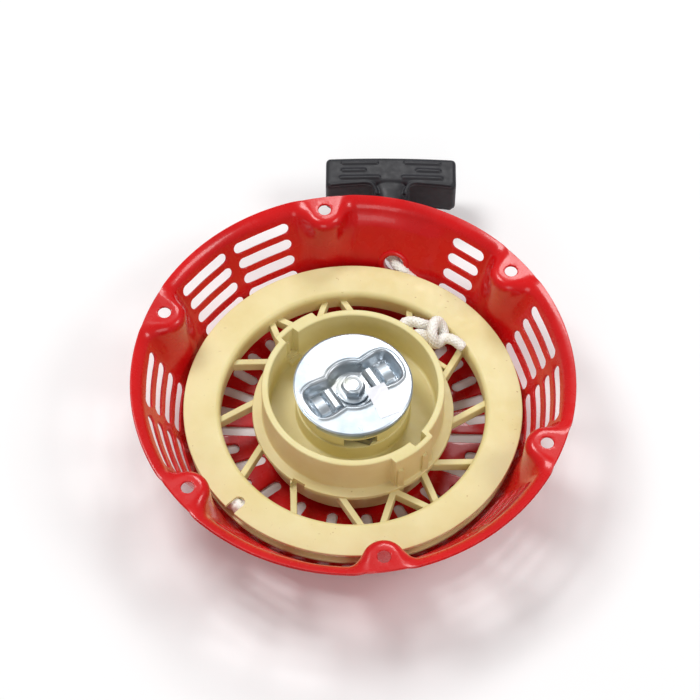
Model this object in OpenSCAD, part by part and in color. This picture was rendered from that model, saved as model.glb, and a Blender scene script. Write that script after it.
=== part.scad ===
// Recoil starter for a single-cylinder engine: a drawn steel housing, a rope reel on a centre post,
// a mainspring under the reel, two pawls under a guide plate, and a rope that ends in a T-grip.
// The origin is the centre of the bolt circle on the rim's mounting face. +Z points to the engine,
// and the rope leaves the housing along +Y.

/* [Housing] */
// Outer diameter of the rim
rim_d = 218; // [204:1:262]
// Height from the mounting face to the outside of the front face
housing_depth = 57; // [47:0.5:70]
// Thickness of the drawn sheet
sheet_t = 1.5; // [1:0.1:2]
// Width of the rim outside the wall's line
rim_lip = 3.5; // [2:0.1:6]
// Radius that the wall loses for each unit of depth
wall_lean = 0.52; // [0.4:0.01:0.56]
// Inside radius of the bend under the rim
rim_bend_r = 3; // [2:0.5:4]
// Inside radius of the bend between the wall and the front face
foot_bend_r = 8; // [4:0.5:12]
// Depth of the pressed dish in the middle of the front face
dish_depth = 2.5; // [1:0.1:3]
// Radius of the pressed dish
dish_r = 19; // [15:0.5:24]

/* [Mounting tabs] */
// Number of mounting holes
tab_count = 6; // [3:1:8]
// Azimuth of the first mounting hole, in degrees
tab_az = 38.7; // [0:0.1:60]
// Distance of the hole's centre from the rim's edge
tab_inset = 8; // [6:0.1:12]
// Diameter of a mounting hole
tab_hole_d = 6.5; // [5:0.1:9]
// Outside radius of the tab and of the pocket below it, at the mounting face
tab_r = 11; // [9:0.1:14]
// Radius that the pocket's wall loses over the housing's depth
tab_draft = 2; // [0:0.1:3]

/* [Air slots] */
// Height of a slot in the wall
louvre_h = 6.2; // [3:0.1:6.5]
// Depth of the top row's middle under the mounting face
louvre_drop = 9.5; // [8:0.1:12]
// Height from one row to the next
louvre_pitch = 8.3; // [7:0.05:9]
// Number of rows
louvre_rows = 4; // [1:1:4]
// Angle from the middle of a bay to a slot's near end, in degrees
louvre_near = 3.2; // [1:0.1:6]
// Angle from the middle of a bay to a slot's far end, in degrees
louvre_far = 17.5; // [12:0.1:20]
// Near end of the short slots beside the rope outlet, in degrees from the middle of the bay
louvre_short = 10.2; // [8:0.1:14]
// Number of slots of each length in the front face
front_slots = 18; // [8:1:22]
// Azimuth of the first long slot, in degrees
front_slot_az = 18.5; // [0:0.5:20]
// Width of a slot in the front face
front_slot_w = 5.4; // [3:0.1:6]
// Radius of a long slot's inner end
front_long_r = 49; // [40:0.5:54]
// Radius of a short slot's inner end
front_short_r = 60.5; // [56:0.5:64]

/* [Reel] */
// Depth from the mounting face to the reel's top
reel_drop = 28; // [24:0.5:30]
// Gap between the lower flange and the housing's wall
reel_gap = 2; // [1:0.1:4]
// Thickness of a flange
flange_t = 2; // [1.5:0.1:3]
// Radius by which the upper flange is larger than the lower one
flange_step = 1; // [0:0.1:2]
// Width of the rope groove
groove_w = 6.4; // [6:0.1:8]
// Depth of the rope groove below the lower flange's edge
groove_depth = 13.7; // [12:0.1:16]
// Thickness of the ring between the groove and the spokes
ring_t = 3.6; // [2:0.1:5]
// Depth from the mounting face to the top of the cup
cup_drop = 9.3; // [8:0.1:12]
// Inside radius of the cup
cup_r = 41.8; // [38:0.1:44]
// Thickness of the cup's wall
cup_t = 3.5; // [2:0.1:4]
// Depth from the mounting face to the cup's floor
cup_floor_drop = 31.5; // [29:0.5:33]
// Thickness of the cup's floor
cup_floor_t = 2.5; // [1.5:0.1:3]
// Width of the web around the cup
web_w = 5; // [4.2:0.1:7]
// Number of spokes
spoke_count = 12; // [6:1:14]
// Azimuth of the first spoke's outer end, in degrees
spoke_az = 5; // [0:0.5:30]
// Angle by which a spoke's inner end trails its outer end
spoke_sweep = 12.5; // [0:0.5:16]
// Width of a spoke
spoke_w = 3.2; // [2:0.1:5]
// Gap between the spring case and the front face
case_gap = 4; // [3:0.5:6]
// Outside radius of the collar at its top
collar_r = 27.4; // [26.5:0.1:27.6]
// Thickness of the collar's wall
collar_t = 2.2; // [1.5:0.1:3]
// Gap between the collar's top and the guide plate
collar_gap = 0.6; // [0.4:0.1:1]

/* [Centre] */
// Radius of the centre post
post_r = 9; // [8.5:0.1:10]
// Radial clearance of a running fit
run_fit = 0.05; // [0.02:0.01:0.08]
// Wall of the reel's hub
hub_t = 4; // [3:0.1:4.5]
// Thickness of the mainspring's strip
strip_t = 0.8; // [0.5:0.1:1]
// Turns of the mainspring
spring_turns = 8; // [5:1:9]

/* [Guide plate] */
// Diameter of the guide plate
plate_d = 59; // [58.5:0.1:60]
// Depth from the mounting face to the top of the plate
plate_drop = 7; // [6:0.1:8]
// Thickness of the plate
plate_t = 1.6; // [1:0.1:2]
// Depth of the bow-tie recess
recess_depth = 6.2; // [5:0.1:7]
// Azimuth of the bow-tie recess, in degrees
recess_az = 32; // [0:1:60]
// Reach of the recess from the axis
recess_reach = 22.5; // [20:0.5:24]
// Height of the turned-down lips
lip_h = 3.8; // [2:0.1:4.5]

/* [Pawls] */
// Thickness of a pawl
pawl_t = 4.4; // [3:0.1:5]
// Radius of the pawl's pivot circle
pawl_pivot_r = 20; // [19:0.1:21]
// Azimuth of the first pawl's pivot, in degrees
pawl_az = -112; // [-130:1:-90]
// Length of a pawl from its pivot to its tip
pawl_len = 18.4; // [15:0.1:19]

/* [Rope and grip] */
// Diameter of the rope
rope_d = 5.4; // [4:0.1:5.6]
// Azimuth of the rope outlet, in degrees
outlet_az = 76.8; // [70:0.1:84]
// Depth of the outlet's centre under the mounting face
outlet_drop = 30.5; // [29:0.1:32]
// Radius of the outlet's bore
outlet_r = 5; // [4:0.1:6]
// Length of the grip's bar
grip_w = 68; // [56:1:82]
// Depth of the grip's bar along the rope
grip_depth = 17; // [14:0.5:20]
// Height of the grip's bar
grip_h = 22; // [18:0.5:27]
// Length of the stem between the housing and the bar
stem_len = 36.5; // [30:0.5:42]
// How far the ends of the bar lie towards the housing
grip_bow = 2.5; // [0:0.1:4]
// Gap between the outlet and the stem at rest
grip_gap = 1.5; // [1:0.5:5]

/* [Sticker] */
// Length of the blank inspection sticker
sticker_l = 19; // [12:0.5:20]
// Width of the blank inspection sticker
sticker_w = 10.2; // [6:0.1:12]

/* [Hidden] */

eps = 0.01;
cut = 1;

// Housing
rim_r = rim_d / 2;
wall_top_r = rim_r - rim_lip;
lean_len = sqrt(1 + wall_lean * wall_lean);
lean_deg = atan(wall_lean);
floor_z = sheet_t - housing_depth;
bay_deg = 360 / tab_count;
tab_circle_r = rim_r - tab_inset;
bay_mid = tab_az - bay_deg / 2;
front_slot_out = wall_r(floor_z + foot_bend_r) - foot_bend_r * lean_len;

// Reel
ring_top = -reel_drop;
ring_bottom = ring_top - 2 * flange_t - groove_w;
groove_z = ring_top - flange_t - groove_w / 2;
reel_low_r = wall_r(ring_bottom) - reel_gap;
reel_up_r = reel_low_r + flange_step;
groove_r = reel_low_r - groove_depth;
ring_in_r = groove_r - ring_t;
cup_top = -cup_drop;
cup_out_r = cup_r + cup_t;
cup_floor = -cup_floor_drop;
cup_under = cup_floor - cup_floor_t;
case_bottom = floor_z + case_gap;
web_r = cup_out_r + web_w;
spoke_drop = 1.5;
spoke_top = cup_floor - spoke_drop;
bulge_out = 3;
bulge_from = 116;
bulge_to = 144;
recess_from = 132;
ledge_h = 4;
brace_ends = [[102.5, 121.5], [128.5, 138]];
brace_drop = 0.4;
brace_rise = 14;
riser_w = spoke_w - 0.6;
riser_l = 4.4;
riser_turn = 2;
knot_rib_w = 2.4;
knot_rib_l = 3.5;
knot_rib_ends = [38, 29.5];
notch_az = 225;
notch_w = 6;
notch_l = 6.4;
web_notch_az = 238;
web_notch_w = 7;
web_notch_l = 3;

// Guide plate, bolt and collar
plate_r = plate_d / 2;
plate_top = -plate_drop;
pan_top = plate_top - recess_depth;
pan_under = pan_top - plate_t;
collar_top = plate_top - plate_t - collar_gap;
bolt_gap = 0.2;
post_top = pan_under - bolt_gap;
shoulder_r = 5.5;
washer_r = 8.3;
washer_t = 1.2;
washer_z = pan_top + bolt_gap;
head_af = 10.4;
head_h = 4.6;
thread_r = 3;
thread_len = 16;
thread_clear = 2;
recess_hub_r = 11.8;
lobe_near = 7.2;
lobe_far = 9;
roll_r = 3.2;
roll_reach = 12.2;
pillow_from = 15.4;
pillow_h = 2.6;
lip_gaps = [[3, 60], [158, 233]];
sticker_at = [14.4, -9.3];
sticker_turn = -66;
sticker_t = 0.15;

// Pawls
pawl_top = pan_under - 1.6;
deck_z = pawl_top - pawl_t - 0.4;
deck_t = 2.5;
hub_top = post_top - 3.4;
hub_r = post_r + run_fit + hub_t - 0.5;
pin_r = 2;
pawl_rest = 1;
window_from = -99;
window_to = -64;

// Mainspring
strip_top = cup_under - 1;
strip_bottom = case_bottom + 0.5;
strip_in_r = post_r + 1.2;
strip_out_r = cup_r - 0.8;
strip_steps = 24;
hook_gap = 0.35;

// Rope: the coil lies in two layers, and the outer one ramps down to the inner one
lay_gap = 0.2;
rope_r = rope_d / 2;
lay_in_r = groove_r + lay_gap + rope_r;
lay_out_r = lay_in_r + rope_d + lay_gap;
outlet_z = -outlet_drop;
outlet_wall_r = wall_r(outlet_z) + sheet_t * lean_len / 2;
leave_az = outlet_az - acos(lay_out_r / outlet_wall_r);
ramp_deg = 70;
coil_step = 10;
ramp_from = 360 - ramp_deg;
outer_turn = [for (a = [0 : coil_step : 360 - coil_step])
    polar(a < ramp_from ? lay_out_r : lay_out_r - (lay_out_r - lay_in_r) * (a - ramp_from) / ramp_deg,
        leave_az - a, groove_z)];
inner_turn = [for (a = [0 : coil_step : 340]) polar(lay_in_r, leave_az - a, groove_z)];
hole_az = leave_az + 10;
hole_in = polar(ring_in_r + ring_t / 2, hole_az - 1, groove_z);
knot_at = polar(ring_in_r - 8.5, hole_az - 1, groove_z + 2.5);
coil_route = concat(outer_turn, inner_turn, [polar(lay_in_r - 1.2, hole_az, groove_z), hole_in,
    polar(ring_in_r - 2.5, hole_az - 1, groove_z + 1)]);

// Rope: from the reel through the outlet to the grip
flange_exit = sqrt(reel_up_r * reel_up_r - lay_out_r * lay_out_r);
lead_dir = [-sin(leave_az), cos(leave_az), 0];
leave_at = polar(lay_out_r + lay_gap, leave_az, groove_z);
outlet_at = polar(outlet_wall_r, outlet_az, outlet_z);
lead_out = 5;
grip_shift = 1.8;
grip_x = outlet_at[0] - grip_shift;
lead_end = outlet_at[1] + lead_out;
stem_y = lead_end + grip_gap;
lead_route = [leave_at + 1.4 * lead_dir, leave_at + 0.5 * flange_exit * lead_dir,
    leave_at + (flange_exit + 2) * lead_dir, outlet_at + [4.6, -4.6, -0.5], outlet_at + [2, -2, -0.1],
    outlet_at + [0.6, 0.3, 0], outlet_at + [-0.2, 2.4, 0], [grip_x, lead_end, outlet_z]];
bar_y = stem_y + stem_len;
bar_mid = bar_y + grip_depth / 2;
seat_depth = 2;
seat_y = bar_y - seat_depth;
insert_t = 2;
insert_r = 6.6;
rope_hole_r = rope_r + 0.4;
pull_route = [[grip_x, lead_end + 1.3, outlet_z], [grip_x, (lead_end + seat_y) / 2, outlet_z],
    [grip_x, seat_y + insert_t + 0.2, outlet_z]];

// Radius of the wall's inner surface at height z
function wall_r(z) = wall_top_r + wall_lean * z;

// A point from its radius, azimuth and height
function polar(r, az, z) = [r * cos(az), r * sin(az), z];

// Points along an arc, both ends included
function arc(cx, cy, r, from, to, n = 8) =
    [for (i = [0 : n]) let (a = from + (to - from) * i / n) [cx + r * cos(a), cy + r * sin(a)]];

function unit(v) = v / norm(v);

// Direction of a route at point i
function heading(route, i) = unit(route[min(i + 1, len(route) - 1)] - route[max(i - 1, 0)]);

// A flat ring between two radii and two heights
module ring(r_in, r_out, z_low, z_high) {
    translate([0, 0, z_low]) difference() {
        cylinder(r = r_out, h = z_high - z_low, $fn = 96);
        translate([0, 0, -cut]) cylinder(r = r_in, h = z_high - z_low + 2 * cut, $fn = 96);
    }
}

// A sector of a ring between two azimuths
module sector(r_in, r_out, z_low, z_high, from, to) {
    rotate([0, 0, from]) rotate_extrude(angle = to - from, $fn = 96)
        translate([r_in, z_low]) square([r_out - r_in, z_high - z_low]);
}

// A round tube swept along a route
module tube(route, r, sides = 10) {
    last = len(route) - 1;
    points = [for (i = [0 : last]) let (t = heading(route, i), s = unit(cross(t, [0, 0, 1])), u = cross(s, t))
        for (j = [0 : sides - 1]) route[i] + r * (cos(360 * j / sides) * s + sin(360 * j / sides) * u)];
    sides_faces = [for (i = [0 : last - 1], j = [0 : sides - 1])
        let (k = (j + 1) % sides) each [
            [i * sides + j, i * sides + k, (i + 1) * sides + k],
            [i * sides + j, (i + 1) * sides + k, (i + 1) * sides + j]]];
    start = [[for (j = [0 : sides - 1]) sides - 1 - j]];
    end = [[for (j = [0 : sides - 1]) last * sides + j]];
    polyhedron(points = points, faces = concat(start, sides_faces, end), convexity = 6);
}

// Outline of the wall from the rim's edge to the dish; offset 0 is the inner surface
function shell_path(out) = concat(
    [[rim_r, -out]],
    arc(wall_r(-rim_bend_r) + rim_bend_r * lean_len, -rim_bend_r, rim_bend_r - out, 90, 180 - lean_deg),
    arc(wall_r(floor_z + foot_bend_r) - foot_bend_r * lean_len, floor_z + foot_bend_r,
        foot_bend_r + out, -lean_deg, -90),
    [[dish_r + dish_depth + 0.4 * out, floor_z - out], [dish_r + 0.4 * out, floor_z + dish_depth - out],
        [post_r, floor_z + dish_depth - out]]);

module shell() {
    inner = shell_path(0);
    outer = shell_path(sheet_t);
    rotate_extrude($fn = 96)
        polygon(concat(inner, [for (i = [len(outer) - 1 : -1 : 0]) outer[i]]));
}

// The space inside the wall, which the pockets' walls are cut to
module inside_space() {
    into_wall = 0.6;
    translate([0, 0, floor_z]) cylinder(r1 = wall_r(floor_z) + into_wall, r2 = wall_top_r + into_wall,
        h = -floor_z, $fn = 96);
}

// Places its children at each mounting hole
module at_tabs() {
    for (i = [0 : tab_count - 1]) rotate([0, 0, tab_az + i * bay_deg]) translate([tab_circle_r, 0, 0])
        children();
}

module tab_cone(r) {
    translate([0, 0, floor_z]) cylinder(r1 = r - tab_draft, r2 = r, h = -floor_z, $fn = 64);
}

// A slot's outline: a strip with round ends whose end centres lie at two places on the X axis
module slot_outline(from, to, w) {
    translate([from, -w / 2]) square([to - from, w]);
    for (x = [from, to]) translate([x, 0]) circle(d = w, $fn = 32);
}

// A wall slot with round ends between two azimuths, cut straight through along its middle's radius
module louvre(from, to, z) {
    reach = 14;
    half_len = (wall_r(z) + sheet_t / 2) * sin((to - from) / 2);
    rotate([0, 0, (from + to) / 2]) translate([wall_r(z) - reach / 2, 0, z]) rotate([90, 0, 90])
        linear_extrude(reach) slot_outline(-half_len, half_len, louvre_h);
}

module louvres() {
    for (bay = [0 : tab_count - 1], row = [0 : louvre_rows - 1]) {
        mid = bay_mid + bay * bay_deg;
        z = -louvre_drop - row * louvre_pitch;
        if (abs(mid - outlet_az) < bay_deg / 2) {
            louvre(mid - louvre_far, mid - louvre_short, z);
        } else {
            louvre(mid - louvre_far, mid - louvre_near, z);
            louvre(mid + louvre_near, mid + louvre_far, z);
        }
    }
}

module front_slot(r_in) {
    translate([0, 0, -housing_depth - cut]) linear_extrude(sheet_t + 2 * cut)
        slot_outline(r_in, front_slot_out - front_slot_w / 2, front_slot_w);
}

module front_slots_all() {
    step = 360 / front_slots;
    for (i = [0 : front_slots - 1]) {
        rotate([0, 0, front_slot_az + i * step]) front_slot(front_long_r);
        rotate([0, 0, front_slot_az + (i + 0.5) * step]) front_slot(front_short_r);
    }
}

// Turns +Z to the wall's outward normal at the rope outlet
module at_outlet() {
    translate(outlet_at) rotate([0, 0, outlet_az]) rotate([0, 90 + lean_deg, 0]) children();
}

module housing() {
    color("crimson") difference() {
        union() {
            shell();
            intersection() {
                inside_space();
                at_tabs() tab_cone(tab_r);
            }
            intersection() {
                translate([0, 0, -sheet_t]) cylinder(r = rim_r, h = sheet_t, $fn = 96);
                at_tabs() translate([0, 0, -sheet_t]) cylinder(r = tab_r, h = sheet_t, $fn = 64);
            }
        }
        at_tabs() translate([0, 0, -sheet_t]) tab_cone(tab_r - sheet_t);
        at_tabs() translate([0, 0, -sheet_t - cut])
            cylinder(d = tab_hole_d, h = sheet_t + 2 * cut, $fn = 32);
        louvres();
        front_slots_all();
        at_outlet() translate([0, 0, -6]) cylinder(r = outlet_r + 1.4, h = 12, $fn = 48);
    }
}

// A rolled steel eyelet that carries the rope through the wall
module rope_eyelet() {
    lip_r = 1.7;
    half = sheet_t / 2 + 0.15;
    profile = concat(
        arc(outlet_r + lip_r, half + 0.3, lip_r, 180, 45, 8),
        [[outlet_r + lip_r + 1.5, half], [outlet_r + 1.4, half], [outlet_r + 1.4, -half - 0.3],
            [outlet_r + lip_r + 1.5, -half - 0.3]],
        arc(outlet_r + lip_r, -half - 0.6, lip_r, -45, -180, 8));
    color("firebrick") at_outlet() rotate_extrude($fn = 64) polygon(profile);
}

// The fixed post: riveted under the front face, slotted for the mainspring's inner hook
module centre_post() {
    foot_r = post_r + 4;
    foot_t = 1.6;
    under = floor_z + dish_depth - sheet_t;
    color("silver") difference() {
        union() {
            translate([0, 0, under]) cylinder(r = post_r, h = post_top - under, $fn = 64);
            translate([0, 0, under - foot_t]) cylinder(r = foot_r, h = foot_t, $fn = 64);
        }
        translate([0, 0, post_top - thread_len]) cylinder(r = thread_r, h = thread_len + cut, $fn = 32);
        translate([post_r - 3, -strip_t / 2 - hook_gap, strip_bottom - 1])
            cube([4, strip_t + 2 * hook_gap, strip_top - strip_bottom + 2]);
    }
}

// A straight rib between two polar points
module rib(r_out, az_out, r_in, az_in, w, z_low, z_high) {
    a = polar(r_out, az_out, 0);
    b = polar(r_in, az_in, 0);
    d = a - b;
    translate([b[0], b[1], z_low]) rotate([0, 0, atan2(d[1], d[0])]) translate([0, -w / 2, 0])
        cube([norm(d), w, z_high - z_low]);
}

module spokes() {
    inside = cup_out_r + 1;
    for (i = [0 : spoke_count - 1]) {
        az = spoke_az + i * 360 / spoke_count;
        rib(ring_in_r + 1, az, inside, az - spoke_sweep - 2, spoke_w, ring_bottom, spoke_top);
    }
    for (turn = [0, 180], ends = brace_ends) rotate([0, 0, turn]) {
        rib(ring_in_r + 1, ends[0], cup_out_r - 1, ends[1], spoke_w, ring_bottom, spoke_top - brace_drop);
        rib(cup_out_r + riser_l, ends[1] - riser_turn, cup_out_r - 1, ends[1], riser_w, ring_bottom + 1,
            cup_floor + brace_rise);
    }
    rib(web_r + 1, knot_rib_ends[0], web_r + knot_rib_l, knot_rib_ends[1], knot_rib_w, ring_bottom,
        spoke_top);
}

// The cup's wall steps outwards on two sides and holds a ledge in each step
module cup() {
    ring(cup_r, cup_out_r, case_bottom, cup_top);
    for (turn = [0, 180]) rotate([0, 0, turn])
        sector(cup_out_r - cup_t / 2, cup_out_r + bulge_out, cup_floor - 1, cup_top, bulge_from, bulge_to);
}

module collar() {
    ring(collar_r - collar_t, collar_r, deck_z, collar_top);
    ring(collar_r - collar_t, collar_r + 1, cup_under, deck_z);
    ring(hub_r - 1, collar_r - eps, deck_z - deck_t, deck_z);
    for (turn = [0, 180]) rotate([0, 0, pawl_az + turn]) translate([pawl_pivot_r, 0, deck_z - eps])
        cylinder(r = pin_r, h = pan_under - 0.8 - deck_z, $fn = 32);
}

module reel() {
    color("wheat") difference() {
        union() {
            ring(ring_in_r, reel_up_r, ring_top - flange_t, ring_top);
            ring(ring_in_r, groove_r, ring_bottom, ring_top);
            ring(ring_in_r, reel_low_r, ring_bottom, ring_bottom + flange_t);
            ring(cup_out_r - 1, web_r, cup_under, cup_floor);
            ring(hub_r - 1, cup_out_r - 1, cup_under, cup_floor);
            ring(post_r + run_fit, hub_r, cup_under - 1, hub_top);
            cup();
            collar();
            spokes();
        }
        for (turn = [0, 180]) rotate([0, 0, turn])
            sector(cup_r - 1, cup_out_r, cup_floor + ledge_h, cup_top + cut, recess_from, bulge_to - 2);
        for (turn = [0, 180]) rotate([0, 0, turn])
            sector(collar_r - collar_t - 2, collar_r + 3, deck_z + eps, pawl_top + 0.8, window_from, window_to);
        rope_notch();
        rope_hole();
        rotate([0, 0, web_notch_az]) translate([web_r - web_notch_l, -web_notch_w / 2, cup_under - cut])
            cube([2 * web_notch_l, web_notch_w, cup_floor_t + 2 * cut]);
        translate([cup_r - 1, -strip_t / 2 - hook_gap, case_bottom - cut])
            cube([cup_t + 2, strip_t + 2 * hook_gap, strip_top - case_bottom + cut]);
    }
}

// A hooked notch in the upper flange, where the rope is caught to wind the reel by hand
module rope_notch() {
    rotate([0, 0, notch_az]) translate([0, 0, ring_top - flange_t - cut])
        linear_extrude(flange_t + 2 * cut) {
        translate([reel_up_r - notch_l, -notch_w / 2]) square([notch_l + cut, notch_w]);
        translate([reel_up_r - notch_l, 0]) circle(d = notch_w, $fn = 32);
    }
}

// The hole through the ring that the rope's knotted end is pulled against
module rope_hole() {
    translate(polar(ring_in_r - 3, hole_az - 1, groove_z)) rotate([0, 90, hole_az - 1])
        cylinder(r = rope_r + 0.35, h = ring_t + 6, $fn = 32);
}

// A spiral strip with a hook at each end: the inner one in the post, the outer one in the case
function spiral(r_from, r_to) = [for (i = [0 : spring_turns * strip_steps])
    let (a = i * 360 / strip_steps, r = r_from + (r_to - r_from) * i / (spring_turns * strip_steps))
        [r * cos(a), r * sin(a)]];

module mainspring() {
    inner = spiral(strip_in_r, strip_out_r - strip_t);
    outer = spiral(strip_in_r + strip_t, strip_out_r);
    width = strip_top - strip_bottom;
    color("dimgray") translate([0, 0, strip_bottom]) union() {
        linear_extrude(width) polygon(concat(inner, [for (i = [len(outer) - 1 : -1 : 0]) outer[i]]));
        translate([post_r - 1.8, -strip_t / 2, 0]) cube([strip_in_r - post_r + 2.4, strip_t, width]);
        translate([strip_out_r - strip_t - 0.3, -strip_t / 2, 0]) cube([cup_t + 1, strip_t, width]);
    }
}

// A pawl about its own pivot, its nose along +X
module pawl_shape() {
    difference() {
        linear_extrude(pawl_t) {
            circle(r = 3.8, $fn = 48);
            polygon([[0, -3.6], [pawl_len * 0.6, -2.6], [pawl_len - 0.6, -2.2], [pawl_len, 0.4],
                [pawl_len - 3.2, 1.2], [pawl_len * 0.5, 1.5], [0, 3.6]]);
        }
        translate([0, 0, -cut]) cylinder(r = pin_r + run_fit, h = pawl_t + 2 * cut, $fn = 32);
    }
}

module pawl_placed(turn) {
    rotate([0, 0, pawl_az + turn]) translate([pawl_pivot_r, 0, pawl_top - pawl_t])
        rotate([0, 0, 90 + pawl_rest]) pawl_shape();
}

module pawl_a() {
    color("slategray") pawl_placed(0);
}

module pawl_b() {
    color("slategray") pawl_placed(180);
}

// A small torsion spring on each pivot pin, with one leg over the pawl
module pawl_spring(turn) {
    wire_r = 0.3;
    rotate([0, 0, pawl_az + turn]) translate([pawl_pivot_r, 0, pawl_top + 0.15 + wire_r]) {
        rotate_extrude($fn = 64) translate([pin_r + 0.1 + wire_r, 0]) circle(r = wire_r, $fn = 48);
        translate([0, pin_r + 0.1 + wire_r, 0]) rotate([0, -90, 0]) cylinder(r = wire_r * 0.9, h = 5, $fn = 48);
    }
}

module pawl_spring_a() {
    color("lightgray") pawl_spring(0);
}

module pawl_spring_b() {
    color("lightgray") pawl_spring(180);
}

// A coiled ring round the post's top that drags on the guide plate
module friction_spring() {
    wire_r = 0.7;
    color("gainsboro") for (i = [0, 1]) translate([0, 0, hub_top + 0.9 + i * 2 * wire_r])
        rotate_extrude($fn = 64) translate([post_r + wire_r + eps, 0]) circle(r = wire_r + 0.02, $fn = 16);
}

// Outline of the bow-tie recess; grow moves it outwards
module recess_outline(grow) {
    chamfer = 3;
    circle(r = recess_hub_r + grow, $fn = 64);
    for (side = [0, 180]) rotate([0, 0, side])
        polygon([[4, -lobe_near - grow], [recess_reach - chamfer, -lobe_far - grow],
            [recess_reach + grow, chamfer - lobe_far], [recess_reach + grow, lobe_far - chamfer],
            [recess_reach - chamfer, lobe_far + grow], [4, lobe_near + grow]]);
}

// The plate's disc with its turned-down lips
module plate_disc() {
    lip_t = 1.5;
    under = plate_top - plate_t;
    difference() {
        translate([0, 0, plate_top - lip_h]) cylinder(r = plate_r, h = lip_h, $fn = 96);
        translate([0, 0, plate_top - lip_h - cut])
            cylinder(r = plate_r - lip_t, h = lip_h - plate_t + cut, $fn = 96);
        for (gap = lip_gaps)
            sector(plate_r - lip_t - 1, plate_r + 1, plate_top - lip_h - cut, under, gap[0], gap[1]);
    }
}

module guide_plate() {
    color("lightsteelblue") difference() {
        union() {
            plate_disc();
            rotate([0, 0, recess_az]) translate([0, 0, pan_under])
                linear_extrude(plate_top - pan_under - plate_t / 2) recess_outline(plate_t);
        }
        difference() {
            rotate([0, 0, recess_az]) translate([0, 0, pan_top]) linear_extrude(recess_depth + cut)
                recess_outline(0);
            plate_rolls();
        }
        translate([0, 0, pan_under - cut]) cylinder(r = shoulder_r + run_fit, h = recess_depth + cut, $fn = 48);
    }
}

// The rolls and pads pressed up in the recess
module plate_rolls() {
    for (turn = [0, 180]) rotate([0, 0, recess_az + turn]) {
        translate([roll_reach, lobe_near - 1.5, pan_top]) rotate([90, 0, 0])
            cylinder(r = roll_r, h = 2 * lobe_near - 3, $fn = 32);
        translate([pillow_from, -lobe_near + 2, pan_top - eps])
            cube([recess_reach - 1.6 - pillow_from, 2 * lobe_near - 4, pillow_h]);
    }
}

module inspection_sticker() {
    color("white") translate([sticker_at[0], sticker_at[1], plate_top]) rotate([0, 0, sticker_turn])
        translate([-sticker_l / 2, -sticker_w / 2, 0]) cube([sticker_l, sticker_w, sticker_t]);
}

module setting_bolt() {
    head_z = washer_z + washer_t;
    color("silver") {
        translate([0, 0, head_z]) cylinder(d = head_af / cos(30), h = head_h, $fn = 6);
        translate([0, 0, post_top]) cylinder(r = shoulder_r, h = washer_z - post_top, $fn = 48);
        translate([0, 0, post_top - thread_len + thread_clear])
            cylinder(r = thread_r, h = head_z - post_top + thread_len - thread_clear + eps, $fn = 32);
    }
}

module bolt_washer() {
    color("gainsboro") ring(thread_r, washer_r, washer_z, washer_z + washer_t);
}

module rope_coil() {
    color("ivory") tube(coil_route, rope_r);
}

// The overhand knot that stops the rope inside the reel
module rope_knot() {
    color("ivory") translate(knot_at) {
        rotate([90, 0, hole_az + 60]) rotate_extrude($fn = 32) translate([3.4, 0]) circle(r = rope_r, $fn = 20);
        translate([1, -2, 2]) rotate([0, 90, -50]) cylinder(r = rope_r, h = 13, $fn = 24);
    }
}

module rope_lead() {
    color("ivory") tube(lead_route, rope_r - 0.2);
}

module rope_pull() {
    color("ivory") tube(pull_route, rope_r - 0.1);
}

// Half of the bar: from the middle to one end, which lies a little nearer the housing
module half_bar(side) {
    corner = 4;
    hull() for (end = [0, 1], y = [-1, 1], z = [-1, 1])
        translate([grip_x + side * end * (grip_w / 2 - corner), bar_mid - end * grip_bow
            + y * (grip_depth / 2 - corner), outlet_z + z * (grip_h / 2 - corner)])
            sphere(r = corner, $fn = 24);
}

module grip_ridges() {
    rows = [[-4.6, 6.2, 26.5], [0, 12.4, 26.5], [4.6, 5, 27.5]];
    ridge_r = 1.5;
    for (side = [-1, 1], face = [-1, 1], row = rows)
        translate([grip_x + side * (row[1] + row[2]) / 2, bar_mid - row[0] - grip_bow / 2,
            outlet_z + face * (grip_h / 2 - 0.7)])
            rotate([0, 90, 0]) cylinder(r = ridge_r, h = row[2] - row[1], center = true, $fn = 24);
}

module grip() {
    stem_r = 6.6;
    neck_r = 8.5;
    color("black") difference() {
        union() {
            half_bar(-1);
            half_bar(1);
            grip_ridges();
            translate([grip_x, stem_y, outlet_z]) rotate([-90, 0, 0])
                cylinder(r1 = stem_r, r2 = neck_r, h = stem_len + 4, $fn = 48);
        }
        translate([grip_x, stem_y - cut, outlet_z]) rotate([-90, 0, 0])
            cylinder(r = rope_hole_r, h = stem_len + 2 * cut, $fn = 32);
        translate([grip_x, seat_y, outlet_z]) rotate([-90, 0, 0])
            cylinder(r = insert_r, h = grip_depth + 4, $fn = 48);
    }
}

// The stiff plug that spreads the knot's load in the grip
module grip_insert() {
    color("dimgray") translate([grip_x, seat_y, outlet_z]) rotate([-90, 0, 0]) difference() {
        cylinder(r = insert_r - 0.2, h = insert_t, $fn = 48);
        translate([0, 0, -cut]) cylinder(r = rope_hole_r, h = insert_t + 2 * cut, $fn = 32);
    }
}

module grip_knot() {
    color("ivory") translate([grip_x, seat_y + insert_t + 0.2 + 4, outlet_z]) rotate([0, 90, 20])
        rotate_extrude($fn = 32) translate([2.5, 0]) circle(r = rope_r - 0.5, $fn = 20);
}

housing();
rope_eyelet();
centre_post();
reel();
mainspring();
pawl_a();
pawl_b();
pawl_spring_a();
pawl_spring_b();
friction_spring();
guide_plate();
inspection_sticker();
setting_bolt();
bolt_washer();
rope_coil();
rope_knot();
rope_lead();
rope_pull();
grip();
grip_insert();
grip_knot();
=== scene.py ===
"""Recoil starter: the visual model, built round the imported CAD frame.

Each sub-assembly is a class that builds its meshes in millimetres, in the frame's own axes, and hands
them over in metres. The origin is the middle of the rim's mounting face, and +Z points to the engine.
"""

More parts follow.
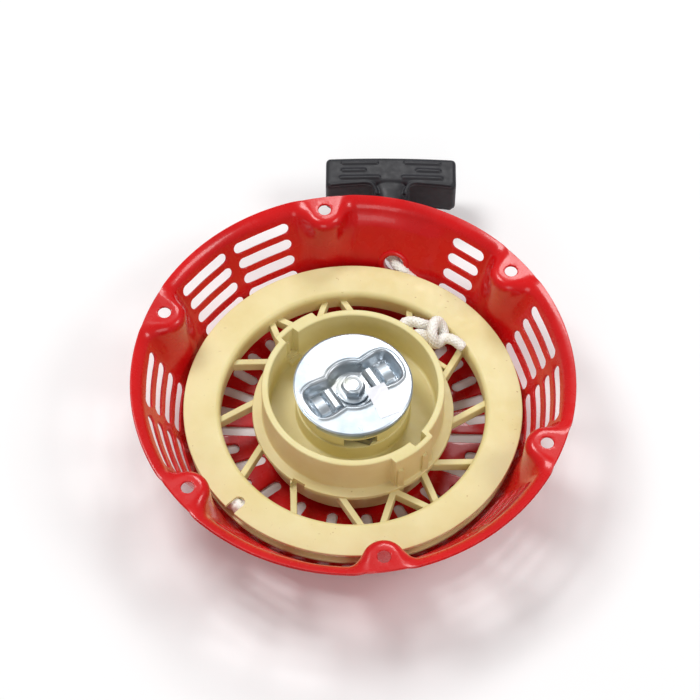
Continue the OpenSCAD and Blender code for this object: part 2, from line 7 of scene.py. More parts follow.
import logging
import math
from dataclasses import dataclass
from enum import Enum
from typing import Callable, Sequence

import bmesh
import bpy
import numpy as np
from mathutils import Matrix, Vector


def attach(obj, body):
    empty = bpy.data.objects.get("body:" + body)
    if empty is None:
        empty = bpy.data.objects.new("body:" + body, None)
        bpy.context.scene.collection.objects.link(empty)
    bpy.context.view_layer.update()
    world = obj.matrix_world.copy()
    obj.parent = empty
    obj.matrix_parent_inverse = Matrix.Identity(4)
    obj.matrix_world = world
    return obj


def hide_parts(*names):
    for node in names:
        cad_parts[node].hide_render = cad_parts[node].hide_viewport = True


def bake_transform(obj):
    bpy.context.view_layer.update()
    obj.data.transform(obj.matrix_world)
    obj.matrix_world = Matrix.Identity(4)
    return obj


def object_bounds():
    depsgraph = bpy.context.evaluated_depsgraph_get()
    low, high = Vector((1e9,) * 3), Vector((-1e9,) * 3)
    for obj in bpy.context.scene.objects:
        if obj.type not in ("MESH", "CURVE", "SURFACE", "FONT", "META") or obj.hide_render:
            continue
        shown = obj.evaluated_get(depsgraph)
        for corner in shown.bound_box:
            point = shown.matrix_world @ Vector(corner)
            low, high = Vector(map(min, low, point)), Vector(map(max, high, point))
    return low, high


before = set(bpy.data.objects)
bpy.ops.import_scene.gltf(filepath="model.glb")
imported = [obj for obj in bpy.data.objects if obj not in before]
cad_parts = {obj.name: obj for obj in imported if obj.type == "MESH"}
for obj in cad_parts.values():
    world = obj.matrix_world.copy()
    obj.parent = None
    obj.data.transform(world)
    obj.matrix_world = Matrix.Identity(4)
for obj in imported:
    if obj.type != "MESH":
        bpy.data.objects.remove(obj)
CAD_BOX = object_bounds()

MM = 0.001
LOG = logging.getLogger("recoil_starter")
Array = np.ndarray


# ---------------------------------------------------------------- mesh helpers


def make_object(name: str, verts: Array, faces: Sequence, material: bpy.types.Material,
                sharp_deg: float = 40.0) -> bpy.types.Object:
    """Makes a mesh object at the origin from points in millimetres.

    Args:
        name: The piece's name.
        verts: Points in millimetres, one row each.
        faces: Vertex indices of each face.
        material: The finish of every face.
        sharp_deg: Edges that turn by more than this stay sharp.

    Returns:
        The linked object.
    """
    mesh = bpy.data.meshes.new(name)
    mesh.from_pydata((np.asarray(verts, float) * MM).tolist(), [], [list(map(int, f)) for f in faces])
    mesh.update()
    obj = bpy.data.objects.new(name, mesh)
    bpy.context.scene.collection.objects.link(obj)
    mesh.materials.append(material)
    clean(obj, sharp_deg)
    return obj


def clean(obj: bpy.types.Object, sharp_deg: float = 40.0) -> None:
    """Merges doubles, turns every face outwards and shades the mesh smooth up to sharp_deg."""
    edit = bmesh.new()
    edit.from_mesh(obj.data)
    bmesh.ops.remove_doubles(edit, verts=edit.verts, dist=0.002 * MM)
    bmesh.ops.dissolve_degenerate(edit, edges=edit.edges, dist=0.001 * MM)
    bmesh.ops.recalc_face_normals(edit, faces=edit.faces)
    edit.to_mesh(obj.data)
    edit.free()
    obj.data.shade_smooth()
    obj.data.set_sharp_from_angle(angle=math.radians(sharp_deg))
    obj.data.update()


def grid_faces(rows: int, cols: int, wrap_rows: bool = False, wrap_cols: bool = False) -> list:
    """Quads of a grid of points, row by row."""
    faces = []
    for i in range(rows if wrap_rows else rows - 1):
        k = (i + 1) % rows
        for j in range(cols if wrap_cols else cols - 1):
            m = (j + 1) % cols
            faces.append((i * cols + j, i * cols + m, k * cols + m, k * cols + j))
    return faces


def arc(cx: float, cy: float, r: float, start: float, end: float, steps: int = 5) -> list:
    """Points along an arc in degrees, both ends included."""
    turn = [math.radians(start + (end - start) * i / steps) for i in range(steps + 1)]
    return [(cx + r * math.cos(a), cy + r * math.sin(a)) for a in turn]


def lathe(name: str, profile: Sequence, material: bpy.types.Material, steps: int = 180,
          azimuths: Sequence = (), sharp_deg: float = 40.0) -> bpy.types.Object:
    """Turns a closed outline about +Z.

    Args:
        name: The piece's name.
        profile: Points (radius, height), or a function that gives them for an azimuth in degrees.
        material: The finish.
        steps: Equal steps round the axis, if azimuths is empty.
        azimuths: The azimuths in degrees, where they aren't equal.
        sharp_deg: Edges that turn by more than this stay sharp.

    Returns:
        The closed ring.
    """
    turns = list(azimuths) or [360 * i / steps for i in range(steps)]
    outline = profile if callable(profile) else (lambda az: profile)
    rows = []
    for az in turns:
        a = math.radians(az)
        rows += [(r * math.cos(a), r * math.sin(a), z) for r, z in outline(az)]
    count = len(rows) // len(turns)
    return make_object(name, np.array(rows), grid_faces(len(turns), count, True, True), material, sharp_deg)


def plain_copy(obj: bpy.types.Object) -> bpy.types.Object:
    """Replaces an object's mesh with its evaluated one and removes its modifiers."""
    depsgraph = bpy.context.evaluated_depsgraph_get()
    mesh = bpy.data.meshes.new_from_object(obj.evaluated_get(depsgraph))
    obj.modifiers.clear()
    old = obj.data
    obj.data = mesh
    if isinstance(old, bpy.types.Mesh):
        bpy.data.meshes.remove(old)
    return obj


def boolean(obj: bpy.types.Object, tools: Sequence, operation: str) -> bpy.types.Object:
    """Cuts tools from obj, or joins them to it, and removes the tools."""
    for tool in tools:
        modifier = obj.modifiers.new("cut", "BOOLEAN")
        modifier.operation = operation
        modifier.object = tool
        modifier.solver = "MANIFOLD"
    plain_copy(obj)
    for tool in tools:
        bpy.data.objects.remove(tool)
    return obj


def join(objs: Sequence) -> bpy.types.Object:
    """Joins meshes into the first one, without a union."""
    edit = bmesh.new()
    for obj in objs:
        edit.from_mesh(obj.data)
    edit.to_mesh(objs[0].data)
    edit.free()
    for obj in objs[1:]:
        bpy.data.objects.remove(obj)
    return objs[0]


def round_min(a: Array, b: Array, r: float) -> Array:
    """Where both distances are positive, with the corner between them rounded to radius r."""
    corner = np.hypot(np.maximum(r - a, 0), np.maximum(r - b, 0))
    return np.maximum(r, np.minimum(a, b)) - corner


def round_max(a: Array, b: Array, r: float) -> Array:
    """Where either distance is positive, with the edge between them rounded to radius r."""
    return -round_min(-a, -b, r)


def smooth(x: Array) -> Array:
    """Smooth step from 0 to 1."""
    t = np.clip(x, 0.0, 1.0)
    return t * t * (3 - 2 * t)


# ---------------------------------------------------------------- finishes


class Shader:
    """Builds a node material round one Principled shader."""

    def __init__(self, name: str) -> None:
        """Starts an empty material called name."""
        self.material = bpy.data.materials.new(name)
        self.material.use_nodes = True
        self.tree = self.material.node_tree
        self.tree.nodes.clear()
        output = self.add("ShaderNodeOutputMaterial")
        self.bsdf = self.add("ShaderNodeBsdfPrincipled")
        self.tree.links.new(self.bsdf.outputs[0], output.inputs[0])
        self.coords = self.add("ShaderNodeTexCoord").outputs["Object"]

    def add(self, kind: str, **props: object) -> bpy.types.Node:
        """Adds a node and sets its properties."""
        node = self.tree.nodes.new(kind)
        for key, value in props.items():
            setattr(node, key, value)
        return node

    def link(self, source: bpy.types.NodeSocket, target: bpy.types.NodeSocket) -> None:
        """Links two sockets."""
        self.tree.links.new(source, target)

    def set(self, **values: object) -> None:
        """Sets constant values on the shader's own sockets; underscores stand for spaces."""
        for key, value in values.items():
            self.bsdf.inputs[key.replace("_", " ")].default_value = value

    def noise(self, scale: float, detail: float = 3.0, rough: float = 0.5,
              stretch: tuple = (1, 1, 1)) -> bpy.types.NodeSocket:
        """A noise value on object coordinates; scale is in features per metre."""
        mapping = self.add("ShaderNodeMapping")
        mapping.inputs["Scale"].default_value = stretch
        self.link(self.coords, mapping.inputs["Vector"])
        noise = self.add("ShaderNodeTexNoise")
        noise.inputs["Scale"].default_value = scale
        noise.inputs["Detail"].default_value = detail
        noise.inputs["Roughness"].default_value = rough
        self.link(mapping.outputs[0], noise.inputs["Vector"])
        return noise.outputs["Fac"]

    def ramp(self, value: bpy.types.NodeSocket, stops: Sequence) -> bpy.types.NodeSocket:
        """A colour ramp through (position, (r, g, b)) stops."""
        ramp = self.add("ShaderNodeValToRGB")
        points = ramp.color_ramp.elements
        while len(points) < len(stops):
            points.new(0.5)
        for point, (place, colour) in zip(points, stops):
            point.position = place
            point.color = (*colour, 1.0)
        self.link(value, ramp.inputs["Fac"])
        return ramp.outputs["Color"]

    def span(self, value: bpy.types.NodeSocket, low: float, high: float,
             start: float = 0.3, end: float = 0.7) -> bpy.types.NodeSocket:
        """Maps a value from start..end to low..high."""
        node = self.add("ShaderNodeMapRange")
        for key, number in (("From Min", start), ("From Max", end), ("To Min", low), ("To Max", high)):
            node.inputs[key].default_value = number
        self.link(value, node.inputs["Value"])
        return node.outputs["Result"]

    def mix(self, factor: bpy.types.NodeSocket, first: bpy.types.NodeSocket,
            second: bpy.types.NodeSocket) -> bpy.types.NodeSocket:
        """Mixes two colours by a factor."""
        node = self.add("ShaderNodeMix", data_type="RGBA")
        self.link(factor, node.inputs[0])
        self.link(first, node.inputs[6])
        self.link(second, node.inputs[7])
        return node.outputs[2]

    def math(self, kind: str, *values: object) -> bpy.types.NodeSocket:
        """A math node on sockets and numbers."""
        node = self.add("ShaderNodeMath", operation=kind)
        for slot, value in zip(node.inputs, values):
            if isinstance(value, bpy.types.NodeSocket):
                self.link(value, slot)
            else:
                slot.default_value = value
        return node.outputs[0]

    def bump(self, height: bpy.types.NodeSocket, depth_mm: float, strength: float = 1.0) -> None:
        """Adds one bump layer under any that is there."""
        node = self.add("ShaderNodeBump")
        node.inputs["Strength"].default_value = strength
        node.inputs["Distance"].default_value = depth_mm * MM
        self.link(height, node.inputs["Height"])
        normal = self.bsdf.inputs["Normal"]
        if normal.is_linked:
            self.link(normal.links[0].from_socket, node.inputs["Normal"])
        self.link(node.outputs[0], normal)


@dataclass(frozen=True)
class Paint:
    """Glossy baked paint on sheet steel."""

    name: str = "glossy_red_paint"
    bright: tuple = (0.68, 0.004, 0.005)
    deep: tuple = (0.54, 0.002, 0.003)

    def build(self) -> bpy.types.Material:
        """Returns the material."""
        s = Shader(self.name)
        s.link(s.ramp(s.noise(26, 4), [(0.25, self.deep), (0.7, self.bright)]), s.bsdf.inputs["Base Color"])
        s.link(s.span(s.noise(140, 4), 0.2, 0.34), s.bsdf.inputs["Roughness"])
        s.set(IOR=1.38, Coat_Weight=0.3, Coat_Roughness=0.05)
        s.bump(s.noise(420, 2), 0.03, 0.25)
        s.bump(s.noise(60, 2), 0.12, 0.25)
        return s.material


@dataclass(frozen=True)
class MouldedPlastic:
    """Cream nylon with faint flow marks and a satin skin."""

    name: str = "cream_nylon"
    light: tuple = (0.78, 0.69, 0.36)
    warm: tuple = (0.72, 0.61, 0.27)
    speck: tuple = (0.28, 0.10, 0.04)

    def build(self) -> bpy.types.Material:
        """Returns the material."""
        s = Shader(self.name)
        skin = s.ramp(s.noise(34, 5, 0.6), [(0.3, self.warm), (0.62, self.light)])
        dirt = s.ramp(s.noise(60, 2), [(0.0, self.speck), (1.0, self.warm)])
        grains, patches = s.span(s.noise(520, 1), 0.0, 0.9, 0.74, 0.78), s.span(s.noise(40, 1), 0.0, 1.0)
        specks = s.math("MULTIPLY", grains, patches)
        s.link(s.mix(specks, skin, dirt), s.bsdf.inputs["Base Color"])
        s.link(s.span(s.noise(220, 3), 0.34, 0.5), s.bsdf.inputs["Roughness"])
        s.set(IOR=1.5, Subsurface_Weight=0.12, Subsurface_Radius=(0.004, 0.0022, 0.0008),
              Specular_IOR_Level=0.45)
        s.bump(s.noise(900, 2), 0.02, 0.3)
        s.bump(s.noise(90, 3), 0.08, 0.3)
        return s.material


@dataclass(frozen=True)
class ZincPlating:
    """Bright zinc with blue-white and yellow patches and faint stains."""

    name: str = "zinc_plating"
    light: tuple = (0.54, 0.57, 0.60)
    blue: tuple = (0.38, 0.45, 0.51)
    yellow: tuple = (0.50, 0.49, 0.27)

    def build(self) -> bpy.types.Material:
        """Returns the material."""
        s = Shader(self.name)
        base = s.ramp(s.noise(70, 5, 0.65), [(0.3, self.blue), (0.6, self.light)])
        tinge = s.ramp(s.noise(150, 4), [(0.0, self.light), (1.0, self.yellow)])
        where = s.span(s.noise(55, 3, 0.6), 0.0, 0.5, 0.55, 0.75)
        s.link(s.mix(where, base, tinge), s.bsdf.inputs["Base Color"])
        s.link(s.span(s.noise(160, 4), 0.27, 0.38), s.bsdf.inputs["Roughness"])
        s.set(Metallic=0.9)
        s.bump(s.noise(1400, 2), 0.01, 0.25)
        s.bump(s.noise(240, 3), 0.03, 0.3)
        return s.material


@dataclass(frozen=True)
class PlainSteel:
    """Turned, pressed or blued steel."""

    name: str
    light: tuple
    dark: tuple
    rough: float = 0.35

    def build(self) -> bpy.types.Material:
        """Returns the material."""
        s = Shader(self.name)
        s.link(s.ramp(s.noise(120, 5), [(0.3, self.dark), (0.7, self.light)]), s.bsdf.inputs["Base Color"])
        s.link(s.span(s.noise(500, 3, 0.5, (1, 1, 12)), self.rough - 0.08, self.rough + 0.1),
               s.bsdf.inputs["Roughness"])
        s.set(Metallic=1.0)
        s.bump(s.noise(1800, 2, 0.5, (1, 1, 8)), 0.01, 0.3)
        return s.material


@dataclass(frozen=True)
class GripPlastic:
    """Black moulded plastic with a soft sheen and a fine texture."""

    name: str = "black_grip_plastic"
    light: tuple = (0.013, 0.0125, 0.017)
    dark: tuple = (0.006, 0.006, 0.009)

    def build(self) -> bpy.types.Material:
        """Returns the material."""
        s = Shader(self.name)
        s.link(s.ramp(s.noise(60, 4), [(0.3, self.dark), (0.7, self.light)]), s.bsdf.inputs["Base Color"])
        s.link(s.span(s.noise(300, 3), 0.42, 0.56), s.bsdf.inputs["Roughness"])
        s.set(Sheen_Weight=0.08, Sheen_Roughness=0.4, Sheen_Tint=(0.75, 0.7, 1.0, 1.0))
        s.bump(s.noise(2600, 2), 0.02, 0.35)
        return s.material


@dataclass(frozen=True)
class RopeYarn:
    """White nylon yarn; the strands are in the mesh and the fibres in the bump."""

    name: str = "nylon_yarn"
    light: tuple = (0.93, 0.92, 0.87)
    shade: tuple = (0.80, 0.77, 0.66)

    def build(self) -> bpy.types.Material:
        """Returns the material."""
        s = Shader(self.name)
        s.link(s.ramp(s.noise(160, 4), [(0.3, self.shade), (0.55, self.light)]), s.bsdf.inputs["Base Color"])
        s.link(s.span(s.noise(900, 3), 0.55, 0.75), s.bsdf.inputs["Roughness"])
        s.set(Sheen_Weight=0.25, Sheen_Roughness=0.35, Subsurface_Weight=0.1,
              Subsurface_Radius=(0.001, 0.001, 0.0008))
        s.bump(s.noise(5200, 3, 0.7, (1, 1, 0.35)), 0.06, 0.5)
        return s.material


@dataclass(frozen=True)
class LabelPaper:
    """Blank white sticker paper with faint creases."""

    name: str = "sticker_paper"
    light: tuple = (0.90, 0.90, 0.94)
    shade: tuple = (0.82, 0.82, 0.88)

    def build(self) -> bpy.types.Material:
        """Returns the material."""
        s = Shader(self.name)
        s.link(s.ramp(s.noise(110, 4), [(0.3, self.shade), (0.6, self.light)]), s.bsdf.inputs["Base Color"])
        s.link(s.span(s.noise(400, 2), 0.38, 0.52), s.bsdf.inputs["Roughness"])
        s.bump(s.noise(260, 3), 0.04, 0.4)
        return s.material


@dataclass(frozen=True)
class DrawnRope:
    """The same yarn on the length that is drawn out along +Y, with the plait in the pattern and painted shade
    in the grooves between its strands.
    """

    name: str = "rope_drawn"
    light: tuple = (0.93, 0.92, 0.87)
    # shade is painted shade: the darker colour of the grooves between the strands
    shade: tuple = (0.55, 0.52, 0.42)
    axis: tuple = (18.86, -30.5)
    strands: int = 8
    pitch: float = 19.0

    def build(self) -> bpy.types.Material:
        """Returns the material."""
        s = Shader(self.name)
        split = s.add("ShaderNodeSeparateXYZ")
        s.link(s.coords, split.inputs[0])
        across = s.math("SUBTRACT", split.outputs["X"], self.axis[0] * MM)
        height = s.math("SUBTRACT", split.outputs["Z"], self.axis[1] * MM)
        turn = s.math("MULTIPLY", s.math("ARCTAN2", height, across), self.strands)
        along = s.math("MULTIPLY", split.outputs["Y"], 2 * math.pi * self.strands / (self.pitch * MM))
        waves = [s.math("SINE", s.math(kind, turn, along)) for kind in ("ADD", "SUBTRACT")]
        plait = s.math("MAXIMUM", *waves)
        # the plait's depth drives the bump and the painted shade that darkens the grooves between strands
        shade = s.span(plait, 0.0, 1.0, -0.2, 0.9)
        colour = s.ramp(shade, [(0.0, self.shade), (0.6, self.light)])
        s.link(colour, s.bsdf.inputs["Base Color"])
        s.link(s.span(s.noise(900, 3), 0.55, 0.75), s.bsdf.inputs["Roughness"])
        s.set(Sheen_Weight=0.25, Sheen_Roughness=0.35)
        s.bump(shade, 0.35, 0.8)
        return s.material


class Finish(Enum):
    """Every finish on the starter."""

    PAINT = Paint()
    REEL = MouldedPlastic()
    ZINC = ZincPlating()
    STEEL = PlainSteel("turned_steel", (0.62, 0.63, 0.65), (0.42, 0.43, 0.45))
    SPRING = PlainSteel("blued_spring_steel", (0.20, 0.22, 0.27), (0.10, 0.11, 0.14), 0.3)
    PAWL = PlainSteel("hardened_steel", (0.30, 0.29, 0.27), (0.17, 0.16, 0.15), 0.45)
    GRIP = GripPlastic()
    ROPE = RopeYarn()
    PULL = DrawnRope()
    LABEL = LabelPaper()

    @property
    def material(self) -> bpy.types.Material:
        """The material, built once."""
        return bpy.data.materials.get(self.value.name) or self.value.build()


# ---------------------------------------------------------------- housing


@dataclass
class Housing:
    """The drawn steel housing: rim, tabs with pockets, slotted wall and slotted front face."""

    rim_r: float = 109.0
    depth: float = 57.0
    sheet: float = 1.5
    wall_top_r: float = 105.5
    lean: float = 0.52
    tab_circle_r: float = 101.0
    tab_az: float = 38.7
    tab_r: float = 10.4
    tab_draft: float = 1.8
    tab_fillet: float = 7.0
    rim_roll: float = 4.6
    hole_r: float = 3.25
    dish_r: float = 19.0
    dish_depth: float = 2.5
    post_r: float = 9.0
    outlet_az: float = 76.8
    outlet_z: float = -30.5
    outlet_hole_r: float = 6.4
    panel: tuple = (64.0, 95.0)
    panel_in: float = 1.3
    slot_h: float = 5.9
    slot_edge: float = 0.45
    row_drop: float = 9.5
    row_pitch: float = 8.3
    rows: int = 4
    pair_spans: tuple = ((-17.5, -3.2), (3.2, 17.5))
    outlet_bay_spans: tuple = ((-17.5, -10.2),)
    front_az: tuple = (18.5, 28.5)
    front_inner_r: tuple = (49.0, 60.5)
    front_outer_r: float = 69.0
    front_w: float = 5.4
    front_pairs: int = 18
    tabs: int = 6

    @property
    def floor_z(self) -> float:
        """Height of the front face's inner surface."""
        return self.sheet - self.depth

    @property
    def lean_len(self) -> float:
        """Length of the wall's slope for each unit of depth."""
        return math.sqrt(1 + self.lean**2)

    def wall_r(self, z: float) -> float:
        """Radius of the plain wall's inner surface at height z."""
        return self.wall_top_r + self.lean * z

    def air(self, x: Array, y: Array, z: Array) -> Array:
        """Signed distance into the open side of the sheet's inner surface."""
        r = np.hypot(x, y)
        az = np.degrees(np.arctan2(y, x))
        low, high = self.panel
        inside = smooth((az - low) / 3) * smooth((high - az) / 3) * smooth((-z - 4) / 8)
        inside = inside * smooth((z + 44) / 8)
        wall = (self.wall_r(z) - r - self.panel_in * inside) / self.lean_len
        rise = self.dish_depth * smooth((self.dish_r + self.dish_depth - r) / self.dish_depth)
        open_side = round_min(wall, z - self.floor_z - rise, 8.0)
        step = 360 / self.tabs
        near = (az - self.tab_az + step / 2) % step - step / 2
        tab = np.hypot(r * np.cos(np.radians(near)) - self.tab_circle_r, r * np.sin(np.radians(near)))
        column = tab - self.tab_r - self.tab_draft * np.clip(-z / 30, 0, 1)
        return round_max(round_min(open_side, column, self.tab_fillet), z, self.rim_roll)

    def azimuths(self) -> list:
        """Azimuths of the mesh's columns, closer together at the tabs."""
        step = 360 / self.tabs
        fine = [-10 + 0.5 * i for i in range(40)]
        coarse = [10 + i * (step - 20) / 24 for i in range(24)]
        return [self.tab_az + bay * step + a for bay in range(self.tabs) for a in fine + coarse]

    def aims(self) -> list:
        """Points (radius, height) at which each column's rays are aimed, from the rim to the middle."""
        rim = [(self.rim_r - 0.5 * i, 0.0) for i in range(1, 5)]
        wall = [(self.wall_r(z), z) for z in np.linspace(-0.4, -20, 34)]
        wall += [(self.wall_r(z), z) for z in np.linspace(-21, -46, 20)]
        foot = [(self.wall_r(-47) - 0.2 - 5.5 * t, -47 - 8.5 * t**0.6) for t in np.linspace(0.1, 1, 9)]
        floor = [(r, self.floor_z) for r in (69, 62, 54, 46, 38, 30, 25, 22.6, 21.6, 20.6, 19.6, 18.6)]
        return rim + wall + foot + floor + [(self.post_r, self.floor_z + self.dish_depth)]

    def surface(self) -> tuple:
        """Points of the inner surface and its normals, found along rays from a ring inside the bowl."""
        eye_r, eye_z = 46.0, 16.0
        az = np.radians(np.array(self.azimuths()))[:, None]
        aims = np.array(self.aims())
        heading = aims - np.array([eye_r, eye_z])
        heading /= np.linalg.norm(heading, axis=1)[:, None]
        hr, hz = heading[:, 0][None], heading[:, 1][None]

        def value(t: Array) -> Array:
            """The air's depth at distance t along each ray."""
            r = eye_r + hr * t
            return self.air(r * np.cos(az), r * np.sin(az), eye_z + hz * t)

        shape = (az.shape[0], aims.shape[0])
        near, far = np.full(shape, 10.0), np.full(shape, 100.0)
        for _ in range(40):
            mid = (near + far) / 2
            is_air = value(mid) > 0
            near, far = np.where(is_air, mid, near), np.where(is_air, far, mid)
        r = eye_r + hr * near
        points = np.stack([r * np.cos(az), r * np.sin(az), eye_z + hz * near], -1)
        step = 0.05
        slope = [self.air(*np.moveaxis(points + d, -1, 0)) - self.air(*np.moveaxis(points - d, -1, 0))
                 for d in np.eye(3) * step]
        normal = np.stack(slope, -1)
        return points, normal / np.linalg.norm(normal, axis=-1, keepdims=True)

    def shell(self) -> bpy.types.Object:
        """The unslotted sheet, with a rounded outer edge."""
        inner, normal = self.surface()
        outer = inner - self.sheet * normal
        az = np.radians(np.array(self.azimuths()))
        edge = np.stack([self.rim_r * np.cos(az), self.rim_r * np.sin(az), np.full(len(az), 0.0)], -1)
        rings = [edge + [0, 0, -self.sheet * t] for t in (0.3, 0.7)]
        loop = np.concatenate([outer[:, ::-1], rings[1][:, None], rings[0][:, None], inner], axis=1)
        count = loop.shape[1]
        return make_object("housing_shell", loop.reshape(-1, 3), grid_faces(len(az), count, True, True),
                           Finish.PAINT.material, 35.0)

    def slot_cutter(self, length: float, width: float, place: Callable) -> bpy.types.Object:
        """A cutter that leaves a slot with round ends and rounded edges.

        Args:
            length: Distance between the centres of the round ends.
            width: Width of the slot.
            place: Gives a point from (along, across, depth through the sheet).

        Returns:
            The closed cutter.
        """
        half, steps = length / 2, 8
        e, t = self.slot_edge, self.sheet
        levels = [(-2.0, e), (-0.02, e), (0.12, 0.45 * e), (0.4, 0.0), (t - 0.4, 0.0), (t - 0.12, 0.45 * e),
                  (t + 0.02, e), (t + 2.0, e)]
        rows = []
        for depth, grow in levels:
            r = width / 2 + grow
            ends = arc(half, 0, r, -90, 90, steps) + arc(-half, 0, r, 90, 270, steps)
            rows += [place(u, v, depth) for u, v in ends]
        count = 2 * (steps + 1)
        faces = grid_faces(len(levels), count, False, True)
        faces += [list(range(count)), list(range(len(rows) - count, len(rows)))]
        return make_object("cutter", np.array(rows), faces, Finish.PAINT.material)

    def wall_place(self, az: float, z: float) -> Callable:
        """Places a cutter on the leaning wall, centred at an azimuth and height."""
        cos, sin = 1 / self.lean_len, self.lean / self.lean_len

        def place(u: float, v: float, depth: float) -> tuple:
            """Point on the wall from distance along it, up it and through it."""
            height = z + v * cos - depth * sin
            r = self.wall_r(z + v * cos) + depth * cos
            a = math.radians(az) + u / self.wall_r(z)
            return r * math.cos(a), r * math.sin(a), height

        return place

    def floor_place(self, az: float, r_mid: float) -> Callable:
        """Places a radial cutter on the front face."""
        a = math.radians(az)

        def place(u: float, v: float, depth: float) -> tuple:
            """Point on the front face from distance along the slot, across it and through it."""
            x, y = r_mid + u, v
            return x * math.cos(a) - y * math.sin(a), x * math.sin(a) + y * math.cos(a), self.floor_z - depth

        return place

    def louvres(self) -> list:
        """Cutters of the wall's rows of slots."""
        step, cutters = 360 / self.tabs, []
        for bay in range(self.tabs):
            mid = self.tab_az + (bay - 0.5) * step
            spans = self.outlet_bay_spans if abs(mid - self.outlet_az) < step / 2 else self.pair_spans
            for row in range(self.rows):
                z = -self.row_drop - self.row_pitch * row
                for low, high in spans:
                    length = self.wall_r(z) * math.radians(high - low)
                    cutters.append(self.slot_cutter(length, self.slot_h,
                                                    self.wall_place(mid + (low + high) / 2, z)))
        return cutters

    def front_slots(self) -> list:
        """Cutters of the front face's long and short radial slots."""
        cutters, out = [], self.front_outer_r
        for i in range(self.front_pairs):
            for start, r_in in zip(self.front_az, self.front_inner_r):
                place = self.floor_place(start + i * 360 / self.front_pairs, (out + r_in) / 2)
                cutters.append(self.slot_cutter(out - r_in, self.front_w, place))
        return cutters

    def holes(self) -> list:
        """Cutters of the mounting holes and the rope outlet."""
        cutters = []
        for i in range(self.tabs):
            a = math.radians(self.tab_az + i * 360 / self.tabs)
            x, y = self.tab_circle_r * math.cos(a), self.tab_circle_r * math.sin(a)
            cutters.append(self.slot_cutter(0.01, 2 * self.hole_r,
                                            lambda u, v, d, x=x, y=y: (x + u, y + v, -d)))
        place = self.wall_place(self.outlet_az, self.outlet_z)
        cutters.append(self.slot_cutter(0.01, 2 * self.outlet_hole_r, place))
        return cutters

    def build(self) -> None:
        """Builds the slotted housing and dresses the pieces fixed to it."""
        shell = self.shell()
        cutter = join(self.louvres() + self.front_slots() + self.holes())
        boolean(shell, [cutter], "DIFFERENCE")
        clean(shell, 38.0)
        weighted = shell.modifiers.new("weighted", "WEIGHTED_NORMAL")
        weighted.keep_sharp = True
        shell.name = "housing_shell"
        give(shell, "housing", "red_paint", "housing")
        dress("rope_eyelet", Finish.PAINT)
        dress("centre_post", Finish.STEEL)
        dress("friction_spring", Finish.STEEL)


# ---------------------------------------------------------------- handing over


def give(obj: bpy.types.Object, body: str, slot: str, *nodes: str) -> None:
    """Names the body that a piece rides on, and hides the CAD nodes that it stands for."""
    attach(obj, body)
    if nodes:
        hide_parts(*nodes)
    LOG.info("%s: %d faces, rides on %s", obj.name, len(obj.data.polygons), body)


def dress(node: str, finish: Finish) -> None:
    """Gives a CAD node's own mesh its finish."""
    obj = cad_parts[node]
    obj.data.materials.clear()
    obj.data.materials.append(finish.material)
    LOG.info("%s: dressed in %s", node, finish.material.name)


# ---------------------------------------------------------------- reel


